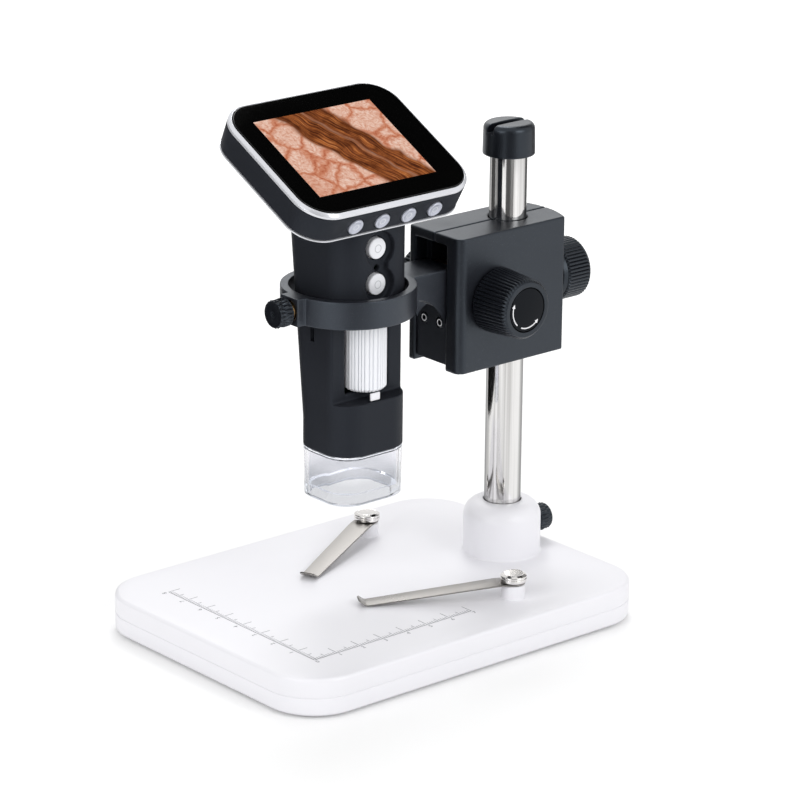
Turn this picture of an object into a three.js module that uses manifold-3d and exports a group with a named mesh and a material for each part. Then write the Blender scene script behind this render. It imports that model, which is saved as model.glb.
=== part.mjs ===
// LCD digital microscope on a pillar stand with a rack-and-pinion focus block.
// Millimetres, +Z up, +X from the microscope towards the pillar, +Y away from the user.
// The origin is the centre of the base's underside; four rubber feet stand below it.

import * as THREE from "three";
import { mergeVertices } from "three/addons/utils/BufferGeometryUtils.js";
import Module from "manifold-3d";

const wasm = await Module();
wasm.setup();

// Driving dimensions: clearances
const fitGap = 0.3;
const seamGap = 0.3;
const cutOverrun = 2;
const weldDistance = 0.0001;

// Driving dimensions: numbers of sides on round pieces
const largeSides = 40;
const mediumSides = 24;
const smallSides = 14;
const cornerSteps = 4;
const shoulderSteps = 4;

// Driving dimensions: base
const baseLength = 157;
const baseDepth = 117.5;
const baseCorner = 18.7;
const baseHeight = 13.5;
const lowerCoverHeight = 6.5;
const baseEdge = 1;
const baseEdgeStep = 0.3;
const baseWall = 2.4;
const baseFloor = 3;
const baseRoof = 2.5;
const footRadius = 5.75;
const footHeight = 2;
const footRecess = 1.3;
const footInset = 14;
const baseScrewX = 40;
const baseScrewInset = 8.75;
const baseScrewStem = 1.4;
const baseScrewHead = 2.6;
const baseScrewHeadHeight = 1.5;
const baseScrewGrip = 3.4;
const baseTower = 3.6;
const ballastLength = 90;
const ballastMargin = 17.75;
const ballastThickness = 6;
const ballastShiftX = -20;

// Driving dimensions: pillar and its boss
const pillarInset = 21.1;
const pillarY = -3.1;
const pillarRadius = 6.58;
const pillarWall = 1.2;
const pillarAboveDrive = 46.3;
const bossRadius = 13.9;
const bossHeight = 19.5;
const bossShoulder = 6;
const socketFloor = 9;
const capRadius = 9.2;
const capHeight = 11.5;
const capShoulder = 2.5;
const capPlugLength = 8;
const capSlotWidth = 3;
const capSlotDepth = 3.4;

// Driving dimensions: knurled thumbscrews
const thumbRadius = 5;
const thumbLength = 5.6;
const thumbStem = 2.1;
const thumbFlutes = 14;
const thumbFluteDepth = 0.35;
const thumbChamfer = 0.6;
const bossScrewHeight = 8.1;
const bossScrewStandoff = 1.2;

// Driving dimensions: stage clips
const clipInset = 49.3;
const clipRearInset = 20.35;
const clipFrontInset = 18.15;
const clipPostRadius = 4.15;
const clipPostHeight = 5;
const clipHeadRadius = 4.65;
const clipHeadHeight = 2.8;
const clipHeadDome = 0.8;
const clipStem = 1.5;
const clipStemLength = 5.5;
const bladeThickness = 0.5;
const bladeWidth = 8.4;
const bladeFlat = 6;
const bladeTipLip = 2.4;
const bladeTipRise = 1.9;
const rearTipAlong = -45.4;
const rearTipAcross = -21.2;
const frontTipAlong = -46.8;
const frontTipAcross = 28.2;

// Driving dimensions: focus drive. Every height from here on is measured from the drive's axis
const driveHeight = 113.9;

// Driving dimensions: focus block
const blockReach = 33.8;
const blockTail = 14.9;
const blockBulge = 3.4;
const blockHalfDepth = 13.5;
const blockBottom = -24.6;
const blockTop = 24;
const blockCorner = 3.5;
const blockRearCorner = 1.2;
const channelShift = 1.9;
const channelHalfWidth = 8.1;
const channelDepth = 5.7;
const channelRoof = 3.4;
const blockScrewX = 8.8;
const blockScrewHigh = 18.1;
const blockScrewLow = -18.4;
const blockScrewStem = 1.4;
const blockScrewHead = 2.6;
const blockScrewHeadHeight = 1.8;
const blockScrewGrip = 9;

// Driving dimensions: knobs, shaft, pinion and rack
const driveX = 17.1;
const toothModule = 0.8;
const pinionTeeth = 12;
const toothThicknessShare = 0.36;
const toothRootShare = 0.54;
const toothSpaceShare = 0.5;
const toothAddendumShare = 0.85;
const toothDedendumShare = 1.15;
const tipThicknessShare = 0.16;
const pinionWidth = 6;
const shaftRadius = 2.6;
const knobRadius = 11.5;
const knobFaceRadius = 10.6;
const knobRimRadius = 9.6;
const knobFlutes = 30;
const knobFluteDepth = 0.45;
const knobChamfer = 1.1;
const frontKnobLength = 15.9;
const rearKnobLength = 13.2;
const knobStandoff = 0.4;
const knobBoreDepth = 10;
const inlayRadius = 7.7;
const inlayThickness = 0.9;
const clampRadius = 10.9;
const clampCollarRadius = 8.6;
const clampCollarLength = 1.8;
const clampLength = 11;
const clampStem = 3;
const clampFlutes = 28;

// Driving dimensions: carriage, arm and clamp ring
const plateFaceInset = 0.9;
const plateBottom = -22.9;
const plateTop = 11.7;
const ringX = 72.3;
const ringOuter = 23.3;
const ringWall = 2.9;
const ringBottom = 3.5;
const ringTop = 13.3;
const armTop = 11.9;
const armToe = -8.7;
const armArchRadius = 10.3;
const armArchTop = -4.6;
const armCurveSteps = 6;
const ringBossReach = 26;
const ringBossHalfWidth = 4.5;
const ringFlatHalfWidth = 7.5;
const ringFlatReach = 22.7;
const insertRadius = 3.4;
const insertLength = 4.6;
const insertProud = 0.6;
const ringScrewStandoff = 0.7;
const rackWidth = 11.6;
const rackLength = 33;
const rackBack = 5;
const rackScrewSpacing = 8.15;
const rackScrewHeight = -8.2;
const rackScrewHead = 1.9;
const rackScrewHeadHeight = 1.6;
const rackScrewStem = 1.2;
const rackScrewGrip = 6.4;
const rackScrewSocket = 1.1;
const socketDepth = 1;
const socketSides = 6;

// Driving dimensions: microscope barrel, about its own axis
const scopeReach = 71.3;
const barrelBottom = -43.8;
const flareBottom = -33.9;
const flareTop = 43.1;
const barrelHalfWidth = 15.8;
const barrelHalfWidthTop = 15.9;
const barrelFront = 15.4;
const barrelRear = 12.2;
const barrelRearTop = 20;
const barrelCorner = 9.5;
const barrelWall = 2;
const recessPlane = 8.7;
const recessBottom = -25.2;
const recessTop = 7.1;
const windowHalfWidth = 9.5;
const windowBottom = -22.7;
const windowTop = 2.7;
const wheelRadius = 7.6;
const wheelOffset = 7.5;
const wheelBottom = -22;
const wheelTop = 1.6;
const wheelFlutes = 24;
const wheelFluteDepth = 0.4;
const axleRadius = 1;
const axleBracketHeight = 2.8;
const axleBracketHalfWidth = 3;
const axleBracketDepth = 4.2;
const indexTabX = -1;
const indexTabWidth = 4;
const indexTabHeight = 2.6;
const indexTabThickness = 0.8;
const indexTabInset = 0.7;
const buttonPlane = 12.8;
const barrelButtonHigh = 28.4;
const barrelButtonLow = 15.8;
const barrelButtonRadius = 3.7;
const barrelButtonTravel = 0.6;
const barrelButtonSink = 1.2;
const buttonFlange = 1;
const buttonFlangeThickness = 0.8;
const lobeRadius = 6.3;
const lobeNeck = 3.6;
const resetHoleRadius = 1;
const resetHoleShift = 0.6;
const resetHoleDrop = 0.8;
const sideSlotWidth = 2;
const sideSlotShift = 1.2;
const sideSlotBottom = -4.9;
const sideSlotDepth = 0.9;

// Driving dimensions: clear tip
const tipBottom = -61.5;
const tipWall = 1.5;
const tipSetback = 0.1;
const tipTaper = 0.4;
const tipCollar = 3.5;
const tipRimHeight = 4;
const tipRimWall = 1;

// Driving dimensions: optics inside the barrel
const lightBoardThickness = 1.2;
const lightBoardHole = 6.6;
const ledRadius = 1.25;
const ledHeight = 0.9;
const ledCount = 8;
const ledCircle = 8.9;
const opticPlateThickness = 1.5;
const guideInner = 6.8;
const guideWall = 1.5;
const lensCellOuter = 6.5;
const lensCellWall = 1.6;
const lensCellBottom = -35.5;
const lensCellTop = -31.5;
const lensThickness = 2;
const lensLip = 1;
const sensorBoardWidth = 17;
const sensorBoardDepth = 12.6;
const sensorBoardThickness = 1.2;
const sensorWidth = 6;
const sensorHeight = 0.8;
const opticsShiftY = -1.5;
const batteryRadius = 7;
const batteryNubRadius = 2.3;
const batteryLength = 34;
const batteryBottom = 8.6;
const batteryShiftY = 5.5;
const shelfThickness = 2;
const buttonBoardWidth = 12;
const buttonBoardHeight = 25;
const buttonBoardThickness = 1.2;

// Driving dimensions: head, in its own tilted frame (u across, v up the screen, w out of it)
const headTiltDegrees = 27.2;
const headY = -0.4;
const headZ = 61.2;
const headWidth = 72.6;
const headShiftX = -1.4;
const headDepth = 59;
const headCorner = 12;
const headTaper = 0.4;
const trimBevel = 1.2;
const trimSkirt = 0.9;
const glassThickness = 1.3;
const shellHeight = 9;
const shellWall = 1.8;
const shellOpening = 9;
const lowerTrimThickness = 0.5;
const lowerTrimProud = 0.2;
const lowerTrimWidth = 2;
const rearCoverThickness = 1.4;
const rearCoverInset = 1.6;
const panelSideMargin = 8.3;
const panelNearMargin = 7;
const panelThickness = 2.8;
const boardThickness = 1.2;
const boardInset = 3;
const menuButtonCount = 4;
const menuButtonRadius = 2.95;
const menuButtonSpacing = 11.5;
const menuButtonShift = 1.2;
const menuButtonDepth = -7.4;
const menuButtonProud = 0.7;
const menuButtonTravel = 0.5;
const socketWidth = 7.6;
const socketHeight = 3;
const socketLength = 5;
const socketWall = 0.5;

// Colours from the photograph, with roughness and metalness
const finishes = {
  whitePlastic: { color: 0xf1f1f6, roughness: 0.35, metalness: 0 },
  blackPlastic: { color: 0x23262c, roughness: 0.5, metalness: 0 },
  softBlack: { color: 0x1f2228, roughness: 0.65, metalness: 0 },
  knobBlack: { color: 0x111214, roughness: 0.45, metalness: 0 },
  gloss: { color: 0x050506, roughness: 0.08, metalness: 0 },
  castBlack: { color: 0x2c3038, roughness: 0.5, metalness: 0.2 },
  polishedSteel: { color: 0xcfcfd2, roughness: 0.12, metalness: 1 },
  springSteel: { color: 0xb9b6ae, roughness: 0.3, metalness: 1 },
  screwSteel: { color: 0x9b9ca0, roughness: 0.35, metalness: 1 },
  brightTrim: { color: 0xe4e6ee, roughness: 0.25, metalness: 0.6 },
  silverButton: { color: 0xb8bccb, roughness: 0.35, metalness: 0.5 },
  brass: { color: 0xb5843f, roughness: 0.35, metalness: 1 },
  clear: { color: 0xdfe2e8, roughness: 0.08, metalness: 0 },
  lens: { color: 0x8fa6b8, roughness: 0.05, metalness: 0 },
  rubber: { color: 0x1b1b1c, roughness: 0.8, metalness: 0 },
  whiteBoard: { color: 0xe8e9ea, roughness: 0.5, metalness: 0 },
  greenBoard: { color: 0x1f6b3a, roughness: 0.5, metalness: 0 },
  battery: { color: 0x3b6ea8, roughness: 0.4, metalness: 0 },
};

// Vector helpers
const v2 = (x, y) => new THREE.Vector2(x, y);
const fullTurn = 2 * Math.PI;
const quarterTurn = Math.PI / 2;

// A solid for cutting and joining: welds the mesh and turns it outwards if it is inside out.
function solid(geometry) {
  const bare = geometry.clone();
  bare.deleteAttribute("normal");
  bare.deleteAttribute("uv");
  const welded = mergeVertices(bare, weldDistance);
  const corners = welded.attributes.position;
  const index = Array.from(welded.index.array);
  const a = new THREE.Vector3();
  const b = new THREE.Vector3();
  const c = new THREE.Vector3();
  const kept = [];
  let volume = 0;
  for (let i = 0; i < index.length; i += 3) {
    const [p, q, r] = index.slice(i, i + 3);
    if (p === q || q === r || r === p) continue;
    a.fromBufferAttribute(corners, p);
    b.fromBufferAttribute(corners, q);
    c.fromBufferAttribute(corners, r);
    volume += a.dot(b.cross(c));
    kept.push([p, q, r]);
  }
  const turned = volume < 0 ? kept.map(([p, q, r]) => [p, r, q]) : kept;
  return new wasm.Manifold(new wasm.Mesh({
    numProp: 3,
    vertProperties: new Float32Array(corners.array),
    triVerts: new Uint32Array(turned.flat()),
  }));
}

// A mesh with its own material, from a finished solid.
const group = new THREE.Group();
function piece(name, finish, body, parent = group) {
  const result = body.getMesh();
  const geometry = new THREE.BufferGeometry();
  geometry.setAttribute("position", new THREE.BufferAttribute(result.vertProperties, 3));
  geometry.setIndex(new THREE.BufferAttribute(result.triVerts, 1));
  geometry.computeVertexNormals();
  const mesh = new THREE.Mesh(geometry, new THREE.MeshStandardMaterial(finishes[finish]));
  mesh.name = name;
  parent.add(mesh);
  return mesh;
}

// Everything that the block carries stands in its own group, whose zero height is the drive's axis.
const upper = new THREE.Group();
upper.position.z = driveHeight;
group.add(upper);
const upperPiece = (name, finish, body) => piece(name, finish, body, upper);

// A box between two corners.
function box(x0, x1, y0, y1, z0, z1) {
  const shape = new THREE.BoxGeometry(x1 - x0, y1 - y0, z1 - z0);
  return solid(shape.translate((x0 + x1) / 2, (y0 + y1) / 2, (z0 + z1) / 2));
}

// A closed skin over a stack of outlines with equal numbers of points, each at its own height.
function loft(levels) {
  const count = levels[0].outline.length;
  const positions = [];
  const index = [];
  const flip = THREE.ShapeUtils.isClockWise(levels[0].outline);
  for (const { outline, z } of levels) {
    const ordered = flip ? [...outline].reverse() : outline;
    for (const point of ordered) positions.push(point.x, point.y, z);
  }
  for (let level = 0; level + 1 < levels.length; level += 1) {
    for (let i = 0; i < count; i += 1) {
      const a = level * count + i;
      const b = level * count + ((i + 1) % count);
      index.push(a, b, b + count, a, b + count, a + count);
    }
  }
  const ends = [[0, true], [levels.length - 1, false]];
  for (const [level, down] of ends) {
    const ordered = flip ? [...levels[level].outline].reverse() : levels[level].outline;
    for (const [a, b, c] of THREE.ShapeUtils.triangulateShape(ordered, [])) {
      const base = level * count;
      index.push(...(down ? [base + a, base + c, base + b] : [base + a, base + b, base + c]));
    }
  }
  const geometry = new THREE.BufferGeometry();
  geometry.setAttribute("position", new THREE.Float32BufferAttribute(positions, 3));
  geometry.setIndex(index);
  return solid(geometry);
}

// A straight prism of one outline.
const prism = (outline, z0, z1) => loft([{ outline, z: z0 }, { outline, z: z1 }]);

// A rectangle with round corners, from its four sides.
function roundedSides(left, right, front, rear, corner, steps = cornerSteps) {
  const centres = [
    [right - corner, rear - corner],
    [left + corner, rear - corner],
    [left + corner, front + corner],
    [right - corner, front + corner],
  ];
  const outline = [];
  centres.forEach(([x, y], quarter) => {
    for (let step = 0; step <= steps; step += 1) {
      const angle = quarterTurn * (quarter + step / steps);
      outline.push(v2(x + corner * Math.cos(angle), y + corner * Math.sin(angle)));
    }
  });
  return outline;
}

// The same rectangle about the origin, drawn in by an inset.
function rounded(width, depth, corner, inset = 0) {
  const x = width / 2 - inset;
  const y = depth / 2 - inset;
  return roundedSides(-x, x, -y, y, corner - inset);
}

// A circle, and a circle with flutes cut into it.
function circle(radius, sides, x = 0, y = 0) {
  return Array.from({ length: sides }, (_, i) => {
    const angle = fullTurn * i / sides;
    return v2(x + radius * Math.cos(angle), y + radius * Math.sin(angle));
  });
}
function fluted(radius, depth, flutes) {
  return Array.from({ length: flutes * 2 }, (_, i) => {
    const angle = Math.PI * i / flutes;
    const reach = i % 2 === 0 ? radius : radius - depth;
    return v2(reach * Math.cos(angle), reach * Math.sin(angle));
  });
}

// A body of revolution about Z, from a profile of radius and height.
function turned(profile, sides) {
  const points = profile.map(([radius, z]) => v2(radius, z));
  return solid(new THREE.LatheGeometry(points, sides).rotateX(quarterTurn));
}

// A plain rod along Z.
const rod = (radius, z0, z1, sides = smallSides) => prism(circle(radius, sides), z0, z1);

// Turns that lay a body made along +Z down along another axis.
const rightAngle = 90;
const alongX = (body) => body.rotate([0, rightAngle, 0]);
const alongMinusX = (body) => body.rotate([0, -rightAngle, 0]);
const alongY = (body) => body.rotate([-rightAngle, 0, 0]);
const alongMinusY = (body) => body.rotate([rightAngle, 0, 0]);
const moved = (body, x, y, z) => body.translate([x, y, z]);
const joined = (first, ...others) => others.reduce((sum, next) => sum.add(next), first);
const cut = (first, ...others) => others.reduce((rest, next) => rest.subtract(next), first);

// A flat-headed screw standing on its head, head down at z = 0.
function screw(headRadius, headHeight, stemRadius, grip) {
  return joined(rod(headRadius, 0, headHeight), rod(stemRadius, headHeight / 2, headHeight + grip));
}

// A knurled thumbscrew along +Z: stem from 0, then the knob.
function thumbscrew(stemLength) {
  const knurl = fluted(thumbRadius, thumbFluteDepth, thumbFlutes);
  const end = fluted(thumbRadius - thumbChamfer, thumbFluteDepth, thumbFlutes);
  const knob = loft([
    { outline: end, z: stemLength },
    { outline: knurl, z: stemLength + thumbChamfer },
    { outline: knurl, z: stemLength + thumbLength - thumbChamfer },
    { outline: end, z: stemLength + thumbLength },
  ]);
  const dimple = rod(thumbStem / 2, stemLength + thumbLength - thumbChamfer,
    stemLength + thumbLength + cutOverrun, smallSides / 2);
  return cut(joined(rod(thumbStem, 0, stemLength + thumbChamfer), knob), dimple);
}

// Base
const seamLow = lowerCoverHeight - seamGap / 2;
const seamHigh = lowerCoverHeight + seamGap / 2;
const bossTop = baseHeight + bossHeight;
const pillarX = baseLength / 2 - pillarInset;
const clipX = baseLength / 2 - clipInset;
const baseRect = (inset) => rounded(baseLength, baseDepth, baseCorner, inset);
const baseScrewPlaces = [-1, 1].flatMap((sx) => [-1, 1].map((sy) => [
  sx * baseScrewX,
  sy * (baseDepth / 2 - baseScrewInset),
]));
const footPlaces = [-1, 1].flatMap((sx) => [-1, 1].map((sy) => [
  sx * (baseLength / 2 - footInset),
  sy * (baseDepth / 2 - footInset),
]));
const clipPlaces = [baseDepth / 2 - clipRearInset, clipFrontInset - baseDepth / 2].map((y) => [clipX, y]);
const clipSeat = baseHeight + clipPostHeight;
const bossScrewZ = baseHeight + bossScrewHeight;
const socketRadius = pillarRadius + fitGap;

function makeBase() {
  const skin = loft([
    { outline: baseRect(0), z: seamHigh },
    { outline: baseRect(0), z: baseHeight - baseEdge },
    { outline: baseRect(baseEdgeStep), z: baseHeight - baseEdgeStep },
    { outline: baseRect(baseEdge), z: baseHeight },
  ]);
  const hollow = prism(baseRect(baseWall), seamHigh - cutOverrun, baseHeight - baseRoof);
  const shoulder = Array.from({ length: shoulderSteps + 1 }, (_, i) => {
    const angle = quarterTurn * i / shoulderSteps;
    const centre = bossRadius - bossShoulder;
    return [centre + bossShoulder * Math.cos(angle), bossTop - bossShoulder * (1 - Math.sin(angle))];
  });
  const boss = moved(turned([[0, seamHigh], [bossRadius, seamHigh], ...shoulder, [0, bossTop]],
    largeSides), pillarX, pillarY, 0);
  const towers = baseScrewPlaces.map(([x, y]) =>
    moved(rod(baseTower, seamHigh, baseHeight - baseRoof / 2), x, y, 0));
  const posts = clipPlaces.map(([x, y]) =>
    moved(rod(clipPostRadius, baseHeight - baseRoof / 2, clipSeat, mediumSides), x, y, 0));
  const socket = moved(rod(socketRadius, socketFloor, bossTop + cutOverrun, largeSides),
    pillarX, pillarY, 0);
  const screwWay = moved(alongX(rod(thumbStem + fitGap, 0, bossRadius + cutOverrun)),
    pillarX, pillarY, bossScrewZ);
  const pilots = baseScrewPlaces.map(([x, y]) =>
    moved(rod(baseScrewStem + fitGap, seamHigh - cutOverrun, seamHigh + baseScrewGrip), x, y, 0));
  const clipHoles = clipPlaces.map(([x, y]) =>
    moved(rod(clipStem + fitGap, clipSeat - clipStemLength, clipSeat + cutOverrun), x, y, 0));
  const shell = cut(skin, hollow);
  const top = cut(joined(shell, boss, ...towers, ...posts), socket, screwWay, ...pilots, ...clipHoles);
  piece("base_top_cover", "whitePlastic", top);

  const tray = cut(
    loft([
      { outline: baseRect(baseEdge), z: 0 },
      { outline: baseRect(baseEdgeStep), z: baseEdge - baseEdgeStep },
      { outline: baseRect(0), z: baseEdge },
      { outline: baseRect(0), z: seamLow },
    ]),
    prism(baseRect(baseWall), baseFloor, seamLow + cutOverrun),
  );
  const seats = baseScrewPlaces.map(([x, y]) => moved(rod(baseTower, baseFloor / 2, seamLow), x, y, 0));
  const holes = baseScrewPlaces.map(([x, y]) => moved(joined(
    rod(baseScrewHead + fitGap, -cutOverrun, baseScrewHeadHeight + fitGap),
    rod(baseScrewStem + fitGap, 0, seamLow + cutOverrun),
  ), x, y, 0));
  const recesses = footPlaces.map(([x, y]) =>
    moved(rod(footRadius + fitGap, -cutOverrun, footRecess, mediumSides), x, y, 0));
  piece("base_lower_cover", "whitePlastic", cut(joined(tray, ...seats), ...holes, ...recesses));

  const plate = rounded(ballastLength, baseDepth - ballastMargin * 2, baseWall * 2);
  piece("ballast_plate", "screwSteel", moved(
    prism(plate, baseFloor + fitGap, baseFloor + fitGap + ballastThickness), ballastShiftX, 0, 0));
  footPlaces.forEach(([x, y], i) => {
    const top = footRecess - fitGap;
    piece(`foot_${i + 1}`, "rubber", moved(rod(footRadius, top - footHeight, top, mediumSides), x, y, 0));
  });
  baseScrewPlaces.forEach(([x, y], i) => {
    const grip = seamHigh + baseScrewGrip - baseScrewHeadHeight - fitGap;
    piece(`base_screw_${i + 1}`, "screwSteel",
      moved(screw(baseScrewHead, baseScrewHeadHeight, baseScrewStem, grip), x, y, 0));
  });
}

// Pillar, its cap and the thumbscrew in the boss
const pillarTop = driveHeight + pillarAboveDrive;
function makePillar() {
  const bore = pillarRadius - pillarWall;
  const bottom = socketFloor + fitGap;
  piece("pillar_tube", "polishedSteel", moved(turned([
    [bore, bottom], [pillarRadius, bottom], [pillarRadius, pillarTop], [bore, pillarTop], [bore, bottom],
  ], largeSides), pillarX, pillarY, 0));

  const low = pillarTop + fitGap;
  const high = low + capHeight;
  const plug = bore - fitGap;
  const slot = box(-capRadius * 2, capRadius * 2, -capSlotWidth / 2, capSlotWidth / 2,
    high - capSlotDepth, high + cutOverrun);
  const dome = Array.from({ length: shoulderSteps + 1 }, (_, i) => {
    const angle = quarterTurn * i / shoulderSteps;
    const centre = capRadius - capShoulder;
    return [centre + capShoulder * Math.cos(angle), high - capShoulder * (1 - Math.sin(angle))];
  });
  const cap = turned([[0, low - capPlugLength], [plug, low - capPlugLength], [plug, low],
    [capRadius, low], ...dome, [0, high]], mediumSides);
  piece("pillar_cap", "knobBlack", moved(cut(cap, slot), pillarX, pillarY, 0));

  const start = pillarRadius + fitGap;
  const stem = bossRadius + bossScrewStandoff - start;
  piece("boss_thumbscrew", "knobBlack",
    moved(alongX(thumbscrew(stem)), pillarX + start, pillarY, bossScrewZ));
}

// Stage clips: a spring blade under a domed screw
function makeClip(name, [x, y], along, across) {
  const run = Math.hypot(along, across);
  const seat = clipSeat + fitGap;
  const stage = baseHeight + fitGap;
  const drop = seat - stage;
  const lower = [
    v2(-bladeFlat / 2, 0),
    v2(bladeFlat, 0),
    v2(run - bladeTipLip, -drop),
    v2(run, bladeTipRise - drop),
  ];
  const upper = [
    v2(run - bladeThickness, bladeTipRise + bladeThickness - drop),
    v2(run - bladeTipLip - bladeThickness / 2, bladeThickness - drop),
    v2(bladeFlat, bladeThickness),
    v2(-bladeFlat / 2, bladeThickness),
  ];
  const strip = alongMinusY(prism([...lower, ...upper], -bladeWidth / 2, bladeWidth / 2));
  const eye = rod(bladeWidth / 2, 0, bladeThickness, mediumSides);
  const hole = rod(clipStem + fitGap, -cutOverrun, cutOverrun);
  const flat = cut(joined(strip, eye), hole);
  const heading = THREE.MathUtils.radToDeg(Math.atan2(across, along));
  piece(`clip_blade_${name}`, "springSteel", moved(flat.rotate([0, 0, heading]), x, y, seat));

  const under = seat + bladeThickness + fitGap;
  const crown = under + clipHeadHeight;
  const stemEnd = clipSeat - clipStemLength + fitGap;
  const profile = [
    [0, stemEnd], [clipStem, stemEnd], [clipStem, under],
    [clipHeadRadius - clipHeadDome / 2, under], [clipHeadRadius, under + clipHeadDome / 2],
    [clipHeadRadius, crown - clipHeadDome], [clipHeadRadius - clipHeadDome, crown], [0, crown],
  ];
  piece(`clip_screw_${name}`, "polishedSteel", moved(turned(profile, mediumSides), x, y, 0));
}

// Focus block: two halves that meet on the pillar's middle plane
const blockLeft = pillarX - blockReach;
const blockRight = pillarX + blockTail;
const channelY = pillarY + channelShift;
const channelFloor = blockLeft + channelDepth;
const channelCeiling = blockTop - channelRoof;
const axisX = pillarX - driveX;
const pitchRadius = toothModule * pinionTeeth / 2;
const pinionTip = pitchRadius + toothModule * toothAddendumShare;
const pinionRoot = pitchRadius - toothModule * toothDedendumShare;
const rackPitchX = axisX - pitchRadius;
const rackTip = rackPitchX + toothModule * toothAddendumShare;
const pinionHalf = pinionWidth / 2;

function blockOutline() {
  const leftEnd = [[1, 1, blockRearCorner], [2, -1, blockCorner]].flatMap(([quarter, side, corner]) => {
    const y = pillarY + side * (blockHalfDepth - corner);
    return Array.from({ length: cornerSteps + 1 }, (_, i) => {
      const angle = quarterTurn * (quarter + i / cornerSteps);
      return v2(blockLeft + corner + corner * Math.cos(angle), y + corner * Math.sin(angle));
    });
  });
  const radius = (blockHalfDepth ** 2 + blockBulge ** 2) / (2 * blockBulge);
  const centre = blockRight + blockBulge - radius;
  const half = Math.asin(blockHalfDepth / radius);
  const steps = cornerSteps * 2;
  const rightEnd = Array.from({ length: steps + 1 }, (_, i) => {
    const angle = half * (2 * i / steps - 1);
    return v2(centre + radius * Math.cos(angle), pillarY + radius * Math.sin(angle));
  });
  return [...leftEnd, ...rightEnd];
}

function makeBlock() {
  const body = prism(blockOutline(), blockBottom, blockTop);
  const low = blockBottom - cutOverrun;
  const channel = box(blockLeft - cutOverrun, channelFloor, channelY - channelHalfWidth,
    channelY + channelHalfWidth, low, channelCeiling);
  const slotHalf = rackWidth / 2 + fitGap;
  const rackSlot = box(blockLeft, rackTip + fitGap * 3, channelY - slotHalf,
    channelY + slotHalf, low, channelCeiling);
  const pinionRoom = moved(alongY(rod(pinionTip + fitGap * 2, -pinionHalf - fitGap,
    pinionHalf + fitGap, mediumSides)), axisX, channelY, 0);
  const shaftWay = moved(alongY(rod(shaftRadius + fitGap, -blockHalfDepth - cutOverrun,
    blockHalfDepth + cutOverrun, mediumSides)), axisX, pillarY, 0);
  const pillarWay = moved(rod(socketRadius, low, blockTop + cutOverrun, largeSides), pillarX, pillarY, 0);
  const clampWay = moved(alongX(rod(clampStem + fitGap, 0, blockTail + blockBulge + cutOverrun)),
    pillarX, pillarY, 0);
  const screwX = pillarX - blockScrewX;
  const rear = pillarY + blockHalfDepth;
  const headEnd = blockScrewHeadHeight + fitGap;
  const screwWays = [blockScrewHigh, blockScrewLow].map((z) => moved(alongMinusY(joined(
    rod(blockScrewHead + fitGap, -cutOverrun, headEnd),
    rod(blockScrewStem + fitGap, 0, blockHalfDepth + blockScrewGrip + fitGap),
  )), screwX, rear, z));
  const open = cut(body, channel, rackSlot, pinionRoom, shaftWay, pillarWay, clampWay, ...screwWays);
  const wide = baseLength;
  const half = seamGap / 2;
  const frontHalf = box(-wide, wide, pillarY - wide, pillarY - half, low, blockTop + cutOverrun);
  const rearHalf = box(-wide, wide, pillarY + half, pillarY + wide, low, blockTop + cutOverrun);
  upperPiece("block_front_half", "blackPlastic", open.intersect(frontHalf));
  upperPiece("block_rear_half", "blackPlastic", open.intersect(rearHalf));
  [["upper", blockScrewHigh], ["lower", blockScrewLow]].forEach(([name, z]) => {
    const grip = blockHalfDepth + blockScrewGrip - blockScrewHeadHeight;
    const body = screw(blockScrewHead, blockScrewHeadHeight, blockScrewStem, grip);
    upperPiece(`block_screw_${name}`, "screwSteel", moved(alongMinusY(body), screwX, rear, z));
  });
}

// Focus drive: ribbed knobs on a shaft, a pinion between them, and the rack it drives
function knob(radius, faceRadius, rimRadius, length, flutes) {
  return loft([
    { outline: fluted(radius - knobChamfer / 2, knobFluteDepth, flutes), z: 0 },
    { outline: fluted(radius, knobFluteDepth, flutes), z: knobChamfer / 2 },
    { outline: fluted(faceRadius, knobFluteDepth, flutes), z: length - knobChamfer },
    { outline: circle(rimRadius, flutes * 2), z: length },
  ]);
}

function gearOutline() {
  const angleOf = (share) => fullTurn * share / pinionTeeth;
  const outline = [];
  for (let tooth = 0; tooth < pinionTeeth; tooth += 1) {
    const middle = angleOf(tooth);
    const corners = [
      [-toothRootShare / 2, pinionRoot], [-toothThicknessShare / 2, pitchRadius],
      [-tipThicknessShare / 2, pinionTip], [tipThicknessShare / 2, pinionTip],
      [toothThicknessShare / 2, pitchRadius], [toothRootShare / 2, pinionRoot],
    ];
    for (const [share, radius] of corners) {
      const angle = middle + angleOf(share);
      outline.push(v2(radius * Math.cos(angle), radius * Math.sin(angle)));
    }
  }
  return outline;
}

function rackOutline(back) {
  const pitch = Math.PI * toothModule;
  const root = rackPitchX - toothModule * toothDedendumShare;
  const low = plateBottom + fitGap * 3;
  const first = Math.ceil(low / pitch + 1) - toothSpaceShare;
  const outline = [v2(back, low), v2(root, low)];
  for (let place = first; (place + 1) * pitch < low + rackLength; place += 1) {
    const middle = place * pitch;
    outline.push(v2(root, middle - pitch * toothRootShare / 2));
    outline.push(v2(rackTip, middle - pitch * tipThicknessShare / 2));
    outline.push(v2(rackTip, middle + pitch * tipThicknessShare / 2));
    outline.push(v2(root, middle + pitch * toothRootShare / 2));
  }
  outline.push(v2(root, low + rackLength), v2(back, low + rackLength));
  return outline;
}

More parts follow.
